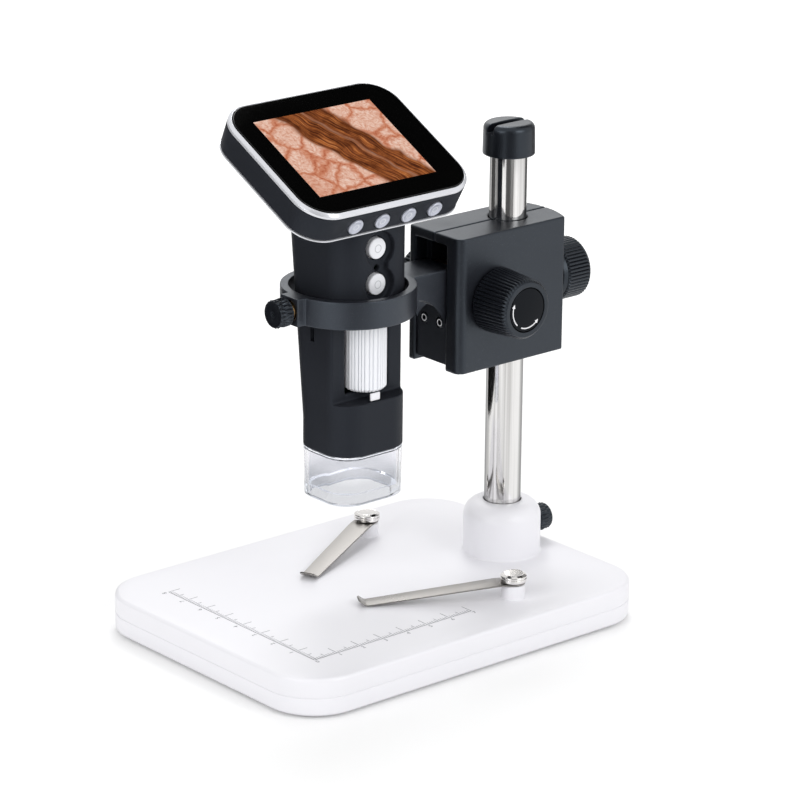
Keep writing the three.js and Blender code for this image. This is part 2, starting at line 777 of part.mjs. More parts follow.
function makeDrive() {
  const front = pillarY - blockHalfDepth - knobStandoff;
  const rear = pillarY + blockHalfDepth + knobStandoff;
  const shaftFront = front - knobBoreDepth + fitGap;
  const shaftRear = rear + knobBoreDepth - fitGap;
  upperPiece("knob_shaft", "screwSteel",
    moved(alongY(rod(shaftRadius, shaftFront, shaftRear, mediumSides)), axisX, 0, 0));
  const pinion = cut(prism(gearOutline(), -pinionHalf, pinionHalf),
    rod(shaftRadius + fitGap / 2, -pinionWidth, pinionWidth, mediumSides));
  upperPiece("pinion", "brass", moved(alongY(pinion), axisX, channelY, 0));

  const bore = rod(shaftRadius + fitGap / 2, -cutOverrun, knobBoreDepth, mediumSides);
  const dish = rod(inlayRadius + fitGap, frontKnobLength - inlayThickness - fitGap,
    frontKnobLength + cutOverrun, mediumSides);
  const frontKnob = knob(knobRadius, knobFaceRadius, knobRimRadius, frontKnobLength, knobFlutes);
  upperPiece("focus_knob_front", "knobBlack",
    moved(alongMinusY(cut(frontKnob, bore, dish)), axisX, front, 0));
  const inlay = rod(inlayRadius, frontKnobLength - inlayThickness, frontKnobLength, mediumSides);
  upperPiece("focus_knob_inlay", "gloss", moved(alongMinusY(inlay), axisX, front, 0));
  const rearKnob = knob(knobRadius, knobFaceRadius, knobRimRadius, rearKnobLength, knobFlutes);
  upperPiece("focus_knob_rear", "knobBlack",
    moved(alongY(cut(rearKnob, bore)), axisX, rear, 0));

  const start = pillarRadius + fitGap;
  const reach = blockTail + blockBulge + fitGap - start;
  const collar = rod(clampCollarRadius, reach, reach + clampCollarLength + fitGap, mediumSides);
  const grip = moved(knob(clampRadius, clampRadius, clampRadius - knobChamfer, clampLength, clampFlutes),
    0, 0, reach + clampCollarLength);
  const clamp = joined(rod(clampStem, 0, reach + fitGap), collar, grip);
  upperPiece("clamp_knob", "knobBlack", moved(alongX(clamp), pillarX + start, pillarY, 0));
}

// Carriage: slide plate, arm and clamp ring in one casting, with the rack screwed to its back
const plateFace = blockLeft + plateFaceInset;
const plateBack = channelFloor - fitGap;
const plateHalf = channelHalfWidth - fitGap;
const ringCentreX = pillarX - ringX;
const ringMiddle = (ringBottom + ringTop) / 2;
const ringInner = ringOuter - ringWall;
const scopeX = pillarX - scopeReach;
const scopeY = pillarY;

function makeCarriage() {
  const plate = box(plateFace, plateBack, channelY - plateHalf, channelY + plateHalf,
    plateBottom, plateTop);
  const armStart = ringCentreX + ringInner;
  const curveX = plateFace - (ringCentreX + ringOuter);
  const curveZ = ringBottom - armToe;
  const underside = Array.from({ length: armCurveSteps + 1 }, (_, i) => {
    const angle = quarterTurn * i / armCurveSteps;
    return v2(plateFace - curveX * (1 - Math.sin(angle)), armToe + curveZ * Math.cos(angle));
  });
  const side = [v2(armStart, ringBottom), ...underside, v2(plateFace + fitGap, armToe),
    v2(plateFace + fitGap, armTop), v2(armStart, armTop)];
  const arm = moved(alongMinusY(prism(side, -plateHalf, plateHalf)), 0, channelY, 0);
  const arch = moved(alongX(rod(armArchRadius, ringCentreX + ringOuter, plateFace, largeSides)),
    0, channelY, armArchTop - armArchRadius);
  const ringDisc = moved(rod(ringOuter, ringBottom, ringTop, largeSides), ringCentreX, scopeY, 0);
  const flats = [-1, 1].map((side) => box(
    ringCentreX - ringOuter * 2, ringCentreX - ringFlatReach,
    scopeY + (side < 0 ? -ringFlatHalfWidth : ringBossHalfWidth),
    scopeY + (side < 0 ? -ringBossHalfWidth : ringFlatHalfWidth),
    ringBottom - cutOverrun, ringTop + cutOverrun));
  const ringBoss = box(ringCentreX - ringBossReach, ringCentreX, scopeY - ringBossHalfWidth,
    scopeY + ringBossHalfWidth, ringBottom, ringTop);
  const hole = moved(rod(ringInner, ringBottom - cutOverrun, ringTop + cutOverrun, largeSides),
    ringCentreX, scopeY, 0);
  const insertWay = moved(alongMinusX(joined(
    rod(insertRadius + fitGap, ringBossReach - insertLength - fitGap, ringBossReach + cutOverrun),
    rod(thumbStem + fitGap, 0, ringBossReach),
  )), ringCentreX, scopeY, ringMiddle);
  const screwWays = [-1, 1].map((side) => moved(alongX(joined(
    rod(rackScrewHead + fitGap, -plateFaceInset - cutOverrun, rackScrewHeadHeight + fitGap),
    rod(rackScrewStem + fitGap, 0, plateBack - plateFace + cutOverrun),
  )), plateFace, channelY + side * rackScrewSpacing / 2, rackScrewHeight));
  const solidArm = cut(joined(cut(arm, arch), plate), ...screwWays);
  const casting = cut(joined(cut(ringDisc, ...flats), ringBoss, solidArm), hole, insertWay);
  upperPiece("ring_arm", "castBlack", casting);

  const rackSide = alongMinusY(prism(rackOutline(plateBack + fitGap), -rackWidth / 2, rackWidth / 2));
  const rackHoles = [-1, 1].map((side) => moved(
    alongX(rod(rackScrewStem + fitGap, 0, rackBack + fitGap)),
    plateBack, channelY + side * rackScrewSpacing / 2, rackScrewHeight));
  upperPiece("rack", "brass", cut(moved(rackSide, 0, channelY, 0), ...rackHoles));
  [["front", -1], ["rear", 1]].forEach(([name, side]) => {
    const body = cut(screw(rackScrewHead, rackScrewHeadHeight, rackScrewStem, rackScrewGrip),
      rod(rackScrewSocket, -cutOverrun, socketDepth, socketSides));
    upperPiece(`rack_screw_${name}`, "screwSteel", moved(alongX(body), plateFace,
      channelY + side * rackScrewSpacing / 2, rackScrewHeight));
  });

  const insert = cut(rod(insertRadius, ringBossReach - insertLength, ringBossReach + insertProud),
    rod(thumbStem + fitGap, 0, ringBossReach * 2));
  upperPiece("ring_insert", "brass", moved(alongMinusX(insert), ringCentreX, scopeY, ringMiddle));
  const tip = ringCentreX - (scopeX - barrelHalfAt(ringMiddle) - fitGap);
  const stem = ringBossReach + insertProud + ringScrewStandoff - tip;
  upperPiece("ring_thumbscrew", "knobBlack",
    moved(alongMinusX(thumbscrew(stem)), ringCentreX - tip, scopeY, ringMiddle));
}

// Barrel sections: a rounded square that widens upwards, most of all at its rear
const flareAt = (z) => Math.max((z - flareBottom) / (flareTop - flareBottom), 0);
const barrelHalfAt = (z) => barrelHalfWidth + flareAt(z) * (barrelHalfWidthTop - barrelHalfWidth);
function barrelSection(z, inset) {
  const half = barrelHalfAt(z) - inset;
  const rear = barrelRear + flareAt(z) * (barrelRearTop - barrelRear) - inset;
  return roundedSides(-half, half, inset - barrelFront, rear, barrelCorner - inset);
}
const atScope = (body) => moved(body, scopeX, scopeY, 0);
const tilt = THREE.MathUtils.degToRad(headTiltDegrees);
const trimBottom = -trimBevel - trimSkirt;
const shellTop = trimBottom - fitGap;
const shellBottom = shellTop - shellHeight;
const rearCoverBottom = shellBottom - fitGap - rearCoverThickness;
const headTop = headZ + headDepth;

// The half space above the rear cover's underside, less a gap, for trimming the barrel's top
function aboveBarrel() {
  const wide = headDepth * 2;
  const geometry = new THREE.BoxGeometry(wide, wide, wide);
  geometry.translate(0, 0, rearCoverBottom - fitGap + wide / 2);
  geometry.rotateX(tilt);
  geometry.translate(0, headY, headZ);
  return solid(geometry);
}

function makeBarrel() {
  const levels = (inset, z0, z1) => [z0, flareBottom, z1].map((z) => ({
    outline: barrelSection(z, inset),
    z,
  }));
  const outer = loft(levels(0, barrelBottom, headTop));
  const inner = loft(levels(barrelWall, barrelBottom - cutOverrun, headTop + cutOverrun));
  const wide = baseLength;
  const windowFill = box(-wide, wide, -wide, barrelWall - recessPlane,
    recessBottom - barrelWall, recessTop + barrelWall);
  const buttonZ = (barrelButtonHigh + barrelButtonLow) / 2;
  const buttonSpan = (barrelButtonHigh - barrelButtonLow) / 2;
  const lobeHalf = lobeRadius + barrelWall;
  const buttonFill = box(-lobeHalf, lobeHalf, -wide, barrelWall - buttonPlane,
    buttonZ - buttonSpan - lobeHalf, buttonZ + buttonSpan + lobeHalf);
  const shelf = box(-batteryRadius, batteryRadius, batteryShiftY - batteryRadius, barrelRearTop,
    batteryBottom - fitGap - shelfThickness, batteryBottom - fitGap);
  const hollow = cut(inner, windowFill, buttonFill, shelf);

  const recess = box(-wide, wide, -wide, -recessPlane, recessBottom, recessTop);
  const window = box(-windowHalfWidth, windowHalfWidth, -wide, wheelOffset - recessPlane,
    windowBottom, windowTop);
  const lobes = [barrelButtonHigh, barrelButtonLow].map((z) => moved(
    alongY(rod(lobeRadius, -wide, -buttonPlane, mediumSides)), 0, 0, z));
  const neck = box(-lobeNeck, lobeNeck, -wide, -buttonPlane, barrelButtonLow, barrelButtonHigh);
  const buttonWays = [barrelButtonHigh, barrelButtonLow].map((z) => moved(
    alongY(rod(barrelButtonRadius + fitGap, -wide, 0, mediumSides)), 0, 0, z));
  const resetHole = moved(alongY(rod(resetHoleRadius, -wide, 0)),
    resetHoleShift, 0, buttonZ - resetHoleDrop);
  const sideSlot = box(-wide, sideSlotDepth - barrelHalfAt(sideSlotBottom),
    sideSlotShift - sideSlotWidth / 2, sideSlotShift + sideSlotWidth / 2, sideSlotBottom, recessTop);

  const bracketRear = axleBracketDepth - recessPlane;
  const bracket = (z0) => box(-axleBracketHalfWidth, axleBracketHalfWidth, -recessPlane, bracketRear,
    z0, z0 + axleBracketHeight);
  const lowBracket = windowBottom - axleBracketHeight;
  const axleEnd = windowTop + axleBracketHeight - fitGap;
  const axleWay = moved(rod(axleRadius + fitGap, lowBracket + fitGap, axleEnd), 0, -wheelOffset, 0);
  const boardFace = buttonBoardFace();
  const boardRib = box(lobeNeck, lobeRadius, -buttonPlane, boardFace - fitGap, buttonZ - barrelWall / 2,
    buttonZ + barrelWall / 2);
  const shell = cut(outer, hollow, recess, window, ...lobes, neck, ...buttonWays, resetHole, sideSlot,
    aboveBarrel());
  const whole = cut(joined(shell, bracket(lowBracket), bracket(windowTop), boardRib), axleWay);
  upperPiece("barrel_shell", "softBlack", atScope(whole));

  const wheel = cut(
    loft([
      { outline: fluted(wheelRadius - wheelFluteDepth, wheelFluteDepth, wheelFlutes), z: wheelBottom },
      { outline: fluted(wheelRadius, wheelFluteDepth, wheelFlutes), z: wheelBottom + wheelFluteDepth },
      { outline: fluted(wheelRadius, wheelFluteDepth, wheelFlutes), z: wheelTop - wheelFluteDepth },
      { outline: fluted(wheelRadius - wheelFluteDepth, wheelFluteDepth, wheelFlutes), z: wheelTop },
    ]),
    rod(axleRadius + fitGap, wheelBottom - cutOverrun, wheelTop + cutOverrun),
  );
  upperPiece("focus_wheel", "whitePlastic", atScope(moved(wheel, 0, -wheelOffset, 0)));
  const axle = rod(axleRadius, lowBracket + fitGap * 2, windowTop + axleBracketHeight - fitGap * 2);
  upperPiece("wheel_axle", "screwSteel", atScope(moved(axle, 0, -wheelOffset, 0)));
  const tabFront = indexTabInset - barrelFront;
  const tabLow = recessBottom + fitGap;
  upperPiece("index_tab", "whitePlastic", atScope(box(indexTabX - indexTabWidth / 2,
    indexTabX + indexTabWidth / 2, tabFront, tabFront + indexTabThickness,
    tabLow, tabLow + indexTabHeight)));
}

// Barrel buttons: a cap through the wall, held by a flange behind it, on a board
const wallBehindButtons = barrelWall - buttonPlane;
function buttonBoardFace() {
  return wallBehindButtons + fitGap + buttonFlangeThickness + barrelButtonTravel + fitGap;
}
function makeBarrelButtons() {
  const flangeFace = wallBehindButtons + fitGap;
  [["upper", barrelButtonHigh], ["lower", barrelButtonLow]].forEach(([name, z]) => {
    const cap = rod(barrelButtonRadius, barrelButtonSink - barrelFront, flangeFace + fitGap, mediumSides);
    const flange = rod(barrelButtonRadius + buttonFlange, flangeFace,
      flangeFace + buttonFlangeThickness, mediumSides);
    const body = moved(alongY(joined(cap, flange)), 0, 0, z);
    upperPiece(`barrel_button_${name}`, "whitePlastic", atScope(body));
  });
  const middle = (barrelButtonHigh + barrelButtonLow) / 2;
  const face = buttonBoardFace();
  upperPiece("button_board", "greenBoard", atScope(box(-buttonBoardWidth / 2, buttonBoardWidth / 2,
    face, face + buttonBoardThickness, middle - buttonBoardHeight / 2, middle + buttonBoardHeight / 2)));
}

// Clear tip: a thin hood below the barrel with a collar that plugs into it
const collarTop = barrelBottom + tipCollar;
function makeTip() {
  const top = barrelBottom - fitGap;
  const section = (inset) => barrelSection(barrelBottom, inset);
  const outside = joined(
    loft([
      { outline: section(tipSetback + tipTaper), z: tipBottom },
      { outline: section(tipSetback), z: top },
    ]),
    prism(section(barrelWall + fitGap), top - fitGap, collarTop),
  );
  const inside = joined(
    prism(section(tipSetback + tipTaper + tipWall), tipBottom + tipRimHeight, top - fitGap),
    prism(section(barrelWall + fitGap + tipWall), tipBottom + tipRimHeight, collarTop + cutOverrun),
    prism(section(tipSetback + tipTaper + tipWall + tipRimWall), tipBottom - cutOverrun,
      tipBottom + tipRimHeight * 2),
  );
  upperPiece("clear_tip", "clear", atScope(cut(outside, inside)));
}

// Optics: light ring, plate with the lens guide, sliding lens cell and the sensor
function makeOptics() {
  const plateSection = (z) => barrelSection(z, barrelWall + fitGap);
  const boardLow = collarTop + fitGap;
  const boardHigh = boardLow + lightBoardThickness;
  const atAxis = (body) => moved(body, scopeX, scopeY + opticsShiftY, 0);
  const toSection = (outline) => outline.map((point) => v2(point.x, point.y - opticsShiftY));
  const leds = Array.from({ length: ledCount }, (_, i) => {
    const angle = fullTurn * (i + 0.5) / ledCount;
    return moved(rod(ledRadius, boardLow - ledHeight, boardLow + ledHeight / 2, smallSides / 2),
      ledCircle * Math.cos(angle), ledCircle * Math.sin(angle), 0);
  });
  const hole = rod(lightBoardHole, boardLow - cutOverrun, boardHigh + cutOverrun, mediumSides);
  const board = prism(toSection(plateSection(boardLow)), boardLow, boardHigh);
  upperPiece("light_ring_board", "whiteBoard", atAxis(joined(cut(board, hole), ...leds)));

  const plateLow = boardHigh + fitGap;
  const plateHigh = plateLow + opticPlateThickness;
  const guideTop = recessBottom - barrelWall - fitGap;
  const guide = rod(guideInner + guideWall, plateLow, guideTop, mediumSides);
  const bore = rod(guideInner, plateLow - cutOverrun, guideTop + cutOverrun, mediumSides);
  const plate = prism(toSection(plateSection(plateLow)), plateLow, plateHigh);
  upperPiece("optic_plate", "blackPlastic", atAxis(cut(joined(plate, guide), bore)));

  const cellBore = lensCellOuter - lensCellWall;
  const seat = (lensCellBottom + lensCellTop - lensThickness) / 2;
  const cell = turned([
    [cellBore - lensLip, lensCellBottom], [lensCellOuter, lensCellBottom], [lensCellOuter, lensCellTop],
    [cellBore, lensCellTop], [cellBore, seat - fitGap], [cellBore - lensLip, seat - fitGap],
    [cellBore - lensLip, lensCellBottom],
  ], mediumSides);
  upperPiece("lens_cell", "knobBlack", atAxis(cell));
  const edge = cellBore - fitGap;
  const lens = turned([[0, seat - lensLip / 2], [cellBore - lensLip * 2, seat],
    [edge, seat], [edge, seat + lensThickness / 2], [cellBore - lensLip * 2, seat + lensThickness],
    [0, seat + lensThickness + lensLip / 2]], mediumSides);
  upperPiece("lens", "lens", atAxis(lens));

  const sensorLow = guideTop + fitGap;
  const sensorFront = barrelWall - recessPlane + fitGap - opticsShiftY;
  const sensorPlate = box(-sensorBoardWidth / 2, sensorBoardWidth / 2,
    sensorFront, sensorFront + sensorBoardDepth, sensorLow, sensorLow + sensorBoardThickness);
  const chip = box(-sensorWidth / 2, sensorWidth / 2, -sensorWidth / 2, sensorWidth / 2,
    sensorLow - sensorHeight, sensorLow + sensorHeight / 2);
  upperPiece("sensor_board", "greenBoard", atAxis(joined(sensorPlate, chip)));
  const cellBody = rod(batteryRadius, batteryBottom, batteryBottom + batteryLength, mediumSides);
  const nub = rod(batteryNubRadius, batteryBottom, batteryBottom + batteryLength + sensorHeight);
  upperPiece("battery", "battery", atScope(moved(joined(cellBody, nub), 0, batteryShiftY, 0)));
}

// Head: a tilted box with a glass front, bright trims and four menu buttons on its near side
function makeHead() {
  const head = new THREE.Group();
  head.position.set(scopeX + headShiftX, scopeY + headY, headZ);
  head.rotation.x = tilt;
  upper.add(head);

  const rect = (inset) => rounded(headWidth, headDepth, headCorner, inset);
  const glassInset = trimBevel + fitGap;
  const drawn = (w) => headTaper * (shellTop - w) / (shellTop - shellBottom);
  const trim = cut(
    loft([
      { outline: rect(0), z: trimBottom },
      { outline: rect(0), z: -trimBevel },
      { outline: rect(trimBevel), z: 0 },
    ]),
    prism(rect(trimBevel), trimBottom - cutOverrun, cutOverrun),
  );
  piece("trim_ring", "brightTrim", trim, head);
  piece("screen_glass", "gloss", prism(rect(glassInset), -glassThickness, 0), head);
  const panelTop = -glassThickness - fitGap;
  const panel = rounded(headWidth - panelSideMargin * 2, headDepth - panelNearMargin * 2, shellWall);
  piece("lcd_panel", "gloss", prism(panel, panelTop - panelThickness, panelTop), head);
  const boardTop = panelTop - panelThickness - fitGap;
  const boardRect = rounded(headWidth, headDepth, headCorner, shellWall + boardInset);
  piece("main_board", "greenBoard", prism(boardRect, boardTop - boardThickness, boardTop), head);

  const tray = cut(
    loft([
      { outline: rect(headTaper), z: shellBottom },
      { outline: rect(0), z: shellTop },
    ]),
    prism(rect(headTaper + shellWall), shellBottom + shellWall, shellTop + cutOverrun),
    rod(shellOpening, shellBottom - cutOverrun, 0, mediumSides),
  );
  const menuStart = menuButtonShift - menuButtonSpacing * (menuButtonCount - 1) / 2;
  const menuPlaces = Array.from({ length: menuButtonCount }, (_, i) => menuStart + i * menuButtonSpacing);
  const near = -headDepth / 2 + drawn(menuButtonDepth);
  const wallInside = headTaper + shellWall - headDepth / 2;
  const ways = menuPlaces.map((u) => moved(
    alongY(rod(menuButtonRadius + fitGap, near - cutOverrun, wallInside + cutOverrun, mediumSides)),
    u, 0, menuButtonDepth));
  const socketHigh = boardTop - boardThickness - fitGap;
  const socketLow = socketHigh - socketHeight;
  const socketHalf = socketWidth / 2 + fitGap;
  const socketWay = box(-socketHalf, socketHalf, headDepth / 2 - headTaper - shellWall - cutOverrun,
    headDepth, socketLow - fitGap, socketHigh + fitGap);
  piece("head_shell", "softBlack", cut(tray, ...ways, socketWay), head);

  const lowTop = shellBottom - fitGap;
  const lowBottom = lowTop - lowerTrimThickness;
  piece("lower_trim", "brightTrim", cut(
    prism(rect(headTaper - lowerTrimProud), lowBottom, lowTop),
    prism(rect(headTaper + lowerTrimWidth), lowBottom - cutOverrun, lowTop + cutOverrun),
  ), head);
  const coverRect = rect(headTaper + lowerTrimWidth + fitGap);
  const cover = cut(
    prism(coverRect, rearCoverBottom, lowTop),
    rod(shellOpening, rearCoverBottom - cutOverrun, 0, mediumSides),
  );
  piece("rear_cover", "softBlack", cover, head);

  menuPlaces.forEach((u, i) => {
    const flange = wallInside + fitGap;
    const cap = moved(alongY(rod(menuButtonRadius, near - menuButtonProud, flange + fitGap, mediumSides)),
      u, 0, menuButtonDepth);
    const reach = menuButtonRadius + buttonFlange;
    const rim = box(u - reach, u + reach, flange, flange + buttonFlangeThickness,
      shellBottom + shellWall + fitGap, menuButtonDepth + reach);
    piece(`menu_button_${i + 1}`, "silverButton", joined(cap, rim), head);
  });
  const farWall = headDepth / 2 - drawn(menuButtonDepth);
  const socketBody = cut(
    box(-socketWidth / 2, socketWidth / 2, farWall - socketLength, farWall,
      socketLow, socketHigh),
    box(socketWall - socketWidth / 2, socketWidth / 2 - socketWall, farWall - socketLength + socketWall,
      farWall + cutOverrun, socketLow + socketWall, socketHigh - socketWall),
  );
  piece("charging_socket", "screwSteel", socketBody, head);
}

makeBase();
makePillar();
makeClip("rear", clipPlaces[0], rearTipAlong, rearTipAcross);
makeClip("front", clipPlaces[1], frontTipAlong, frontTipAcross);
makeBlock();
makeDrive();
makeCarriage();
makeBarrel();
makeBarrelButtons();
makeTip();
makeOptics();
makeHead();

export default group;
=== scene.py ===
# %% [markdown]
# # A pocket digital microscope on its stand
#
# The CAD part is the fixed frame: it gives every size, every place and every moving body. This script
# dresses it. Each visible piece is built again with the details that the eye looks for (soft moulded
# edges, ribs, knurls, curled spring ends), gets a procedural finish, and rides on its CAD body.
#
# Lengths are in millimetres here, because the CAD part is, and are turned into metres at the last step.

# %% Frame
import math

import bpy
import numpy as np
from mathutils import Matrix, Vector


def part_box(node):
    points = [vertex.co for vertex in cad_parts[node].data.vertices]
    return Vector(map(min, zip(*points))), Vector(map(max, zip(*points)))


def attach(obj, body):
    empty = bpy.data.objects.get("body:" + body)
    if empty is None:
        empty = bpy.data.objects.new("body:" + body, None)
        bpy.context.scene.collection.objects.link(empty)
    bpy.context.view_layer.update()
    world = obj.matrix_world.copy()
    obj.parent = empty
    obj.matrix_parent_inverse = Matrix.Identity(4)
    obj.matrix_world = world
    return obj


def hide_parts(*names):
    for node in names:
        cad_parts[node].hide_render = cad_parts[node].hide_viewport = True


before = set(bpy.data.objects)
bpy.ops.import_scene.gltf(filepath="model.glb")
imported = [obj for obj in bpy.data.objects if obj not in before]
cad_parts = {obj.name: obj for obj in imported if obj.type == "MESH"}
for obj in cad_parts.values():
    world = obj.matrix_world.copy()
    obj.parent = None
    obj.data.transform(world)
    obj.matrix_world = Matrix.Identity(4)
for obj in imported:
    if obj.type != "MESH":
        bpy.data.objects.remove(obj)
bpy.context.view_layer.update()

MM = 0.001
SCENE = bpy.context.scene

# %% [markdown]
# ## Helpers for shapes
#
# Nearly everything on this object is one of two things. A *turned* piece (knob, screw, pillar, cap) is a
# profile revolved round an axis. A *moulded* piece (base, barrel, screen head) is one outline repeated at
# several heights, a little larger or smaller each time. Both are a stack of rings with a skin over them,
# so one function makes the skin, and numpy works out all the ring points at once.

# %% Rings and skins
TURN = 2 * math.pi


def span(*nodes):
    """Lowest and highest corner, in mm, of the box round these CAD nodes."""
    corners = np.array([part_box(node) for node in nodes]) / MM
    return corners[:, 0].min(axis=0), corners[:, 1].max(axis=0)


def filleted(corners, closed=False, steps=5):
    """Points of a line through (x, y, radius) corners, each corner rounded by an arc of its radius.

    The arc starts t = radius * tan(bend / 2) before the corner, where bend is the change of direction.
    """
    spots = np.array([corner[:2] for corner in corners], float)
    points = []
    for i, (x, y, radius) in enumerate(corners):
        inside = closed or 0 < i < len(corners) - 1
        if radius <= 0 or not inside:
            points.append((x, y))
            continue
        before = spots[i] - spots[i - 1]
        after = spots[(i + 1) % len(spots)] - spots[i]
        before /= np.linalg.norm(before)
        after /= np.linalg.norm(after)
        bend = math.atan2(before[0] * after[1] - before[1] * after[0], before @ after)
        start = spots[i] - before * radius * math.tan(abs(bend) / 2)
        side = math.copysign(1, bend)
        normal = np.array([-before[1], before[0]]) * side
        centre = start + normal * radius
        angle = np.linspace(0, abs(bend), steps + 1)[:, None]
        arc = centre - normal * radius * np.cos(angle) + before * radius * np.sin(angle)
        points.extend(map(tuple, arc))
    return np.array(points)


def rounded_box(left, right, front, rear, corner, inset=0.0, steps=10):
    """Outline of a box with four quarter-circle corners, drawn in by inset."""
    radius = max(corner - inset, 0.05)
    reach = np.array([[right, rear], [left, rear], [left, front], [right, front]], float)
    inward = np.array([[-1, -1], [1, -1], [1, 1], [-1, 1]], float)
    centre = reach + inward * (radius + inset)
    angle = np.linspace(0, TURN / 4, steps + 1)[None, :] + np.arange(4)[:, None] * TURN / 4
    arc = np.stack([np.cos(angle), np.sin(angle)], axis=-1) * radius
    return (centre[:, None, :] + arc).reshape(-1, 2)


def skin(rings, closed=False):
    """Closed surface over a stack of rings: quads between neighbours, and caps unless the stack is a loop."""
    rings = np.asarray(rings, float)
    levels, around = rings.shape[:2]
    index = np.arange(levels * around).reshape(levels, around)
    if closed:
        index = np.vstack([index, index[:1]])
    low = index[:-1]
    high = index[1:]
    quads = np.stack([low, np.roll(low, -1, 1), np.roll(high, -1, 1), high], axis=-1).reshape(-1, 4)
    faces = quads.tolist()
    if not closed:
        faces += [index[0][::-1].tolist(), index[-1].tolist()]
    return rings.reshape(-1, 3), faces


def level_ring(flat, height):
    """A flat outline as a ring of points at one height."""
    return np.column_stack([flat, np.full(len(flat), height)])


def stacked(outline, profile, closed=False):
    """Skin over outline(inset) repeated at each (inset, height) of the profile."""
    return skin([level_ring(outline(inset), height) for inset, height in profile], closed)


def turned(profile, sides=96, closed=False, carve=None):
    """Revolves (radius, height) pairs about +Z: x = r cos a, y = r sin a, with r less carve(a, height)."""
    radius, height = np.array(profile, float).T[:, :, None]
    angle = np.linspace(0, TURN, sides, endpoint=False)[None, :]
    cut = carve(angle, height) if carve else 0.0
    around = radius - cut
    rings = np.stack([around * np.cos(angle), around * np.sin(angle), height + 0 * angle], axis=-1)
    return skin(rings, closed)


AXES = {
    "z": Matrix.Identity(3),
    "x": Matrix(((0, 0, 1), (1, 0, 0), (0, 1, 0))),
    "-x": Matrix(((0, 0, -1), (0, 1, 0), (1, 0, 0))),
    "y": Matrix(((0, 1, 0), (0, 0, 1), (1, 0, 0))),
    "-y": Matrix(((1, 0, 0), (0, 0, -1), (0, 1, 0))),
}


def placed(shape, axis="z", at=(0, 0, 0)):
    """The same skin with its +Z turned to the named axis and its origin moved to a place in mm."""
    points, faces = shape
    turn = np.array(AXES[axis] if isinstance(axis, str) else axis)
    return points @ turn.T + np.array(at, float), faces


def box(x0, x1, y0, y1, z0, z1):
    """A plain box, used only to cut or to join."""
    flat = np.array([(x1, y1), (x0, y1), (x0, y0), (x1, y0)], float)
    return skin([level_ring(flat, z) for z in (z0, z1)])


def rod(radius, start, end, sides=64):
    """A plain rod along +Z, used only to cut or to join."""
    return turned([(radius, start), (radius, end)], sides)


def thin_ring(inner, outer, low, high, sides):
    """A ring with a thin rectangular section, for printed marks and painted highlight rims."""
    return turned([(inner, low), (outer, low), (outer, high), (inner, high)], sides, closed=True)


# %% [markdown]
# ## Helpers for solids
#
# Moulded plastic and die-cast metal never have knife edges. Two tools give the soft ones. A few simple
# skins are joined and cut by booleans, then *relaxed*: the solid is rebuilt on a fine even grid and each
# point moves toward its neighbours, which rounds the edges outside and fills the corners inside, as a
# mould does. Flat faces stay flat, because their neighbours already lie in the plane.

# %% Solids
GRAIN = 0.38
SHARP = math.radians(42)


def solid(*shapes, name="solid"):
    """One mesh object, in metres, from skins in mm."""
    points = []
    faces = []
    for shape_points, shape_faces in shapes:
        offset = sum(len(block) for block in points)
        points.append(np.asarray(shape_points) * MM)
        faces += [[corner + offset for corner in face] for face in shape_faces]
    mesh = bpy.data.meshes.new(name)
    mesh.from_pydata(np.vstack(points).tolist(), [], faces)
    obj = bpy.data.objects.new(name, mesh)
    SCENE.collection.objects.link(obj)
    return obj


def settle(obj):
    """Turns the object's modifiers into plain mesh."""
    graph = bpy.context.evaluated_depsgraph_get()
    mesh = bpy.data.meshes.new_from_object(obj.evaluated_get(graph))
    obj.modifiers.clear()
    obj.data = mesh
    return obj


def combine(obj, operation, shapes):
    """Joins, cuts or intersects a solid with skins or other solids, one after another, and uses them up."""
    tools = [shape if isinstance(shape, bpy.types.Object) else solid(shape, name="tool") for shape in shapes]
    for tool in tools:
        change = obj.modifiers.new(operation, "BOOLEAN")
        change.operation = operation
        change.solver = "MANIFOLD"
        change.object = tool
    settle(obj)
    for tool in tools:
        bpy.data.objects.remove(tool)
    return obj


def relaxed(obj, grain=GRAIN, passes=5, keep=0.35):
    """Soft edges: an even grid of this grain, relaxed a few times, then thinned to a share of its faces."""
    even = obj.modifiers.new("even grid", "REMESH")
    even.mode = "VOXEL"
    even.voxel_size = grain * MM
    soft = obj.modifiers.new("relax", "SMOOTH")
    soft.factor = 0.5
    soft.iterations = passes
    thin = obj.modifiers.new("thin", "DECIMATE")
    thin.ratio = keep
    return settle(obj)


def bevelled(obj, width, segments, **limits):
    """Rounds the edges of a solid by a width in mm; limits are settings of Blender's bevel modifier."""
    edge = obj.modifiers.new("edge", "BEVEL")
    edge.width = width * MM
    edge.segments = segments
    for key, value in limits.items():
        setattr(edge, key, value)
    return settle(obj)


def mount(obj, name, body, finish_name, nodes=(), variant=None):
    """Names a finished piece, gives it its finish and lets it ride on its CAD body in place of the nodes."""
    obj.name = name
    obj.data.name = name
    obj.data.materials.clear()
    obj.data.materials.append(FINISHES[variant or finish_name])
    obj.data.shade_smooth()
    obj.data.set_sharp_from_angle(angle=SHARP)
    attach(obj, body)
    if nodes:
        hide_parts(*nodes)
    print(f"{name}: {len(obj.data.polygons)} faces")
    return obj


# %% [markdown]
# ## Camera
#
# The photograph was taken with a long lens from the left front, a little above the object. The view was
# found from known edges of the base and the pillar: azimuth, elevation, roll and distance. The axis of the
# view passes through a point low in front of the barrel.

# %% Camera
VIEW_AZIMUTH = math.radians(-40.76)
VIEW_ELEVATION = math.radians(18.68)
VIEW_ROLL = math.radians(0.58)
VIEW_DISTANCE = 1318.02
VIEW_AIM = (-21.81, -38.45, 96.02)
LENS = 177.66
SENSOR = 36.0

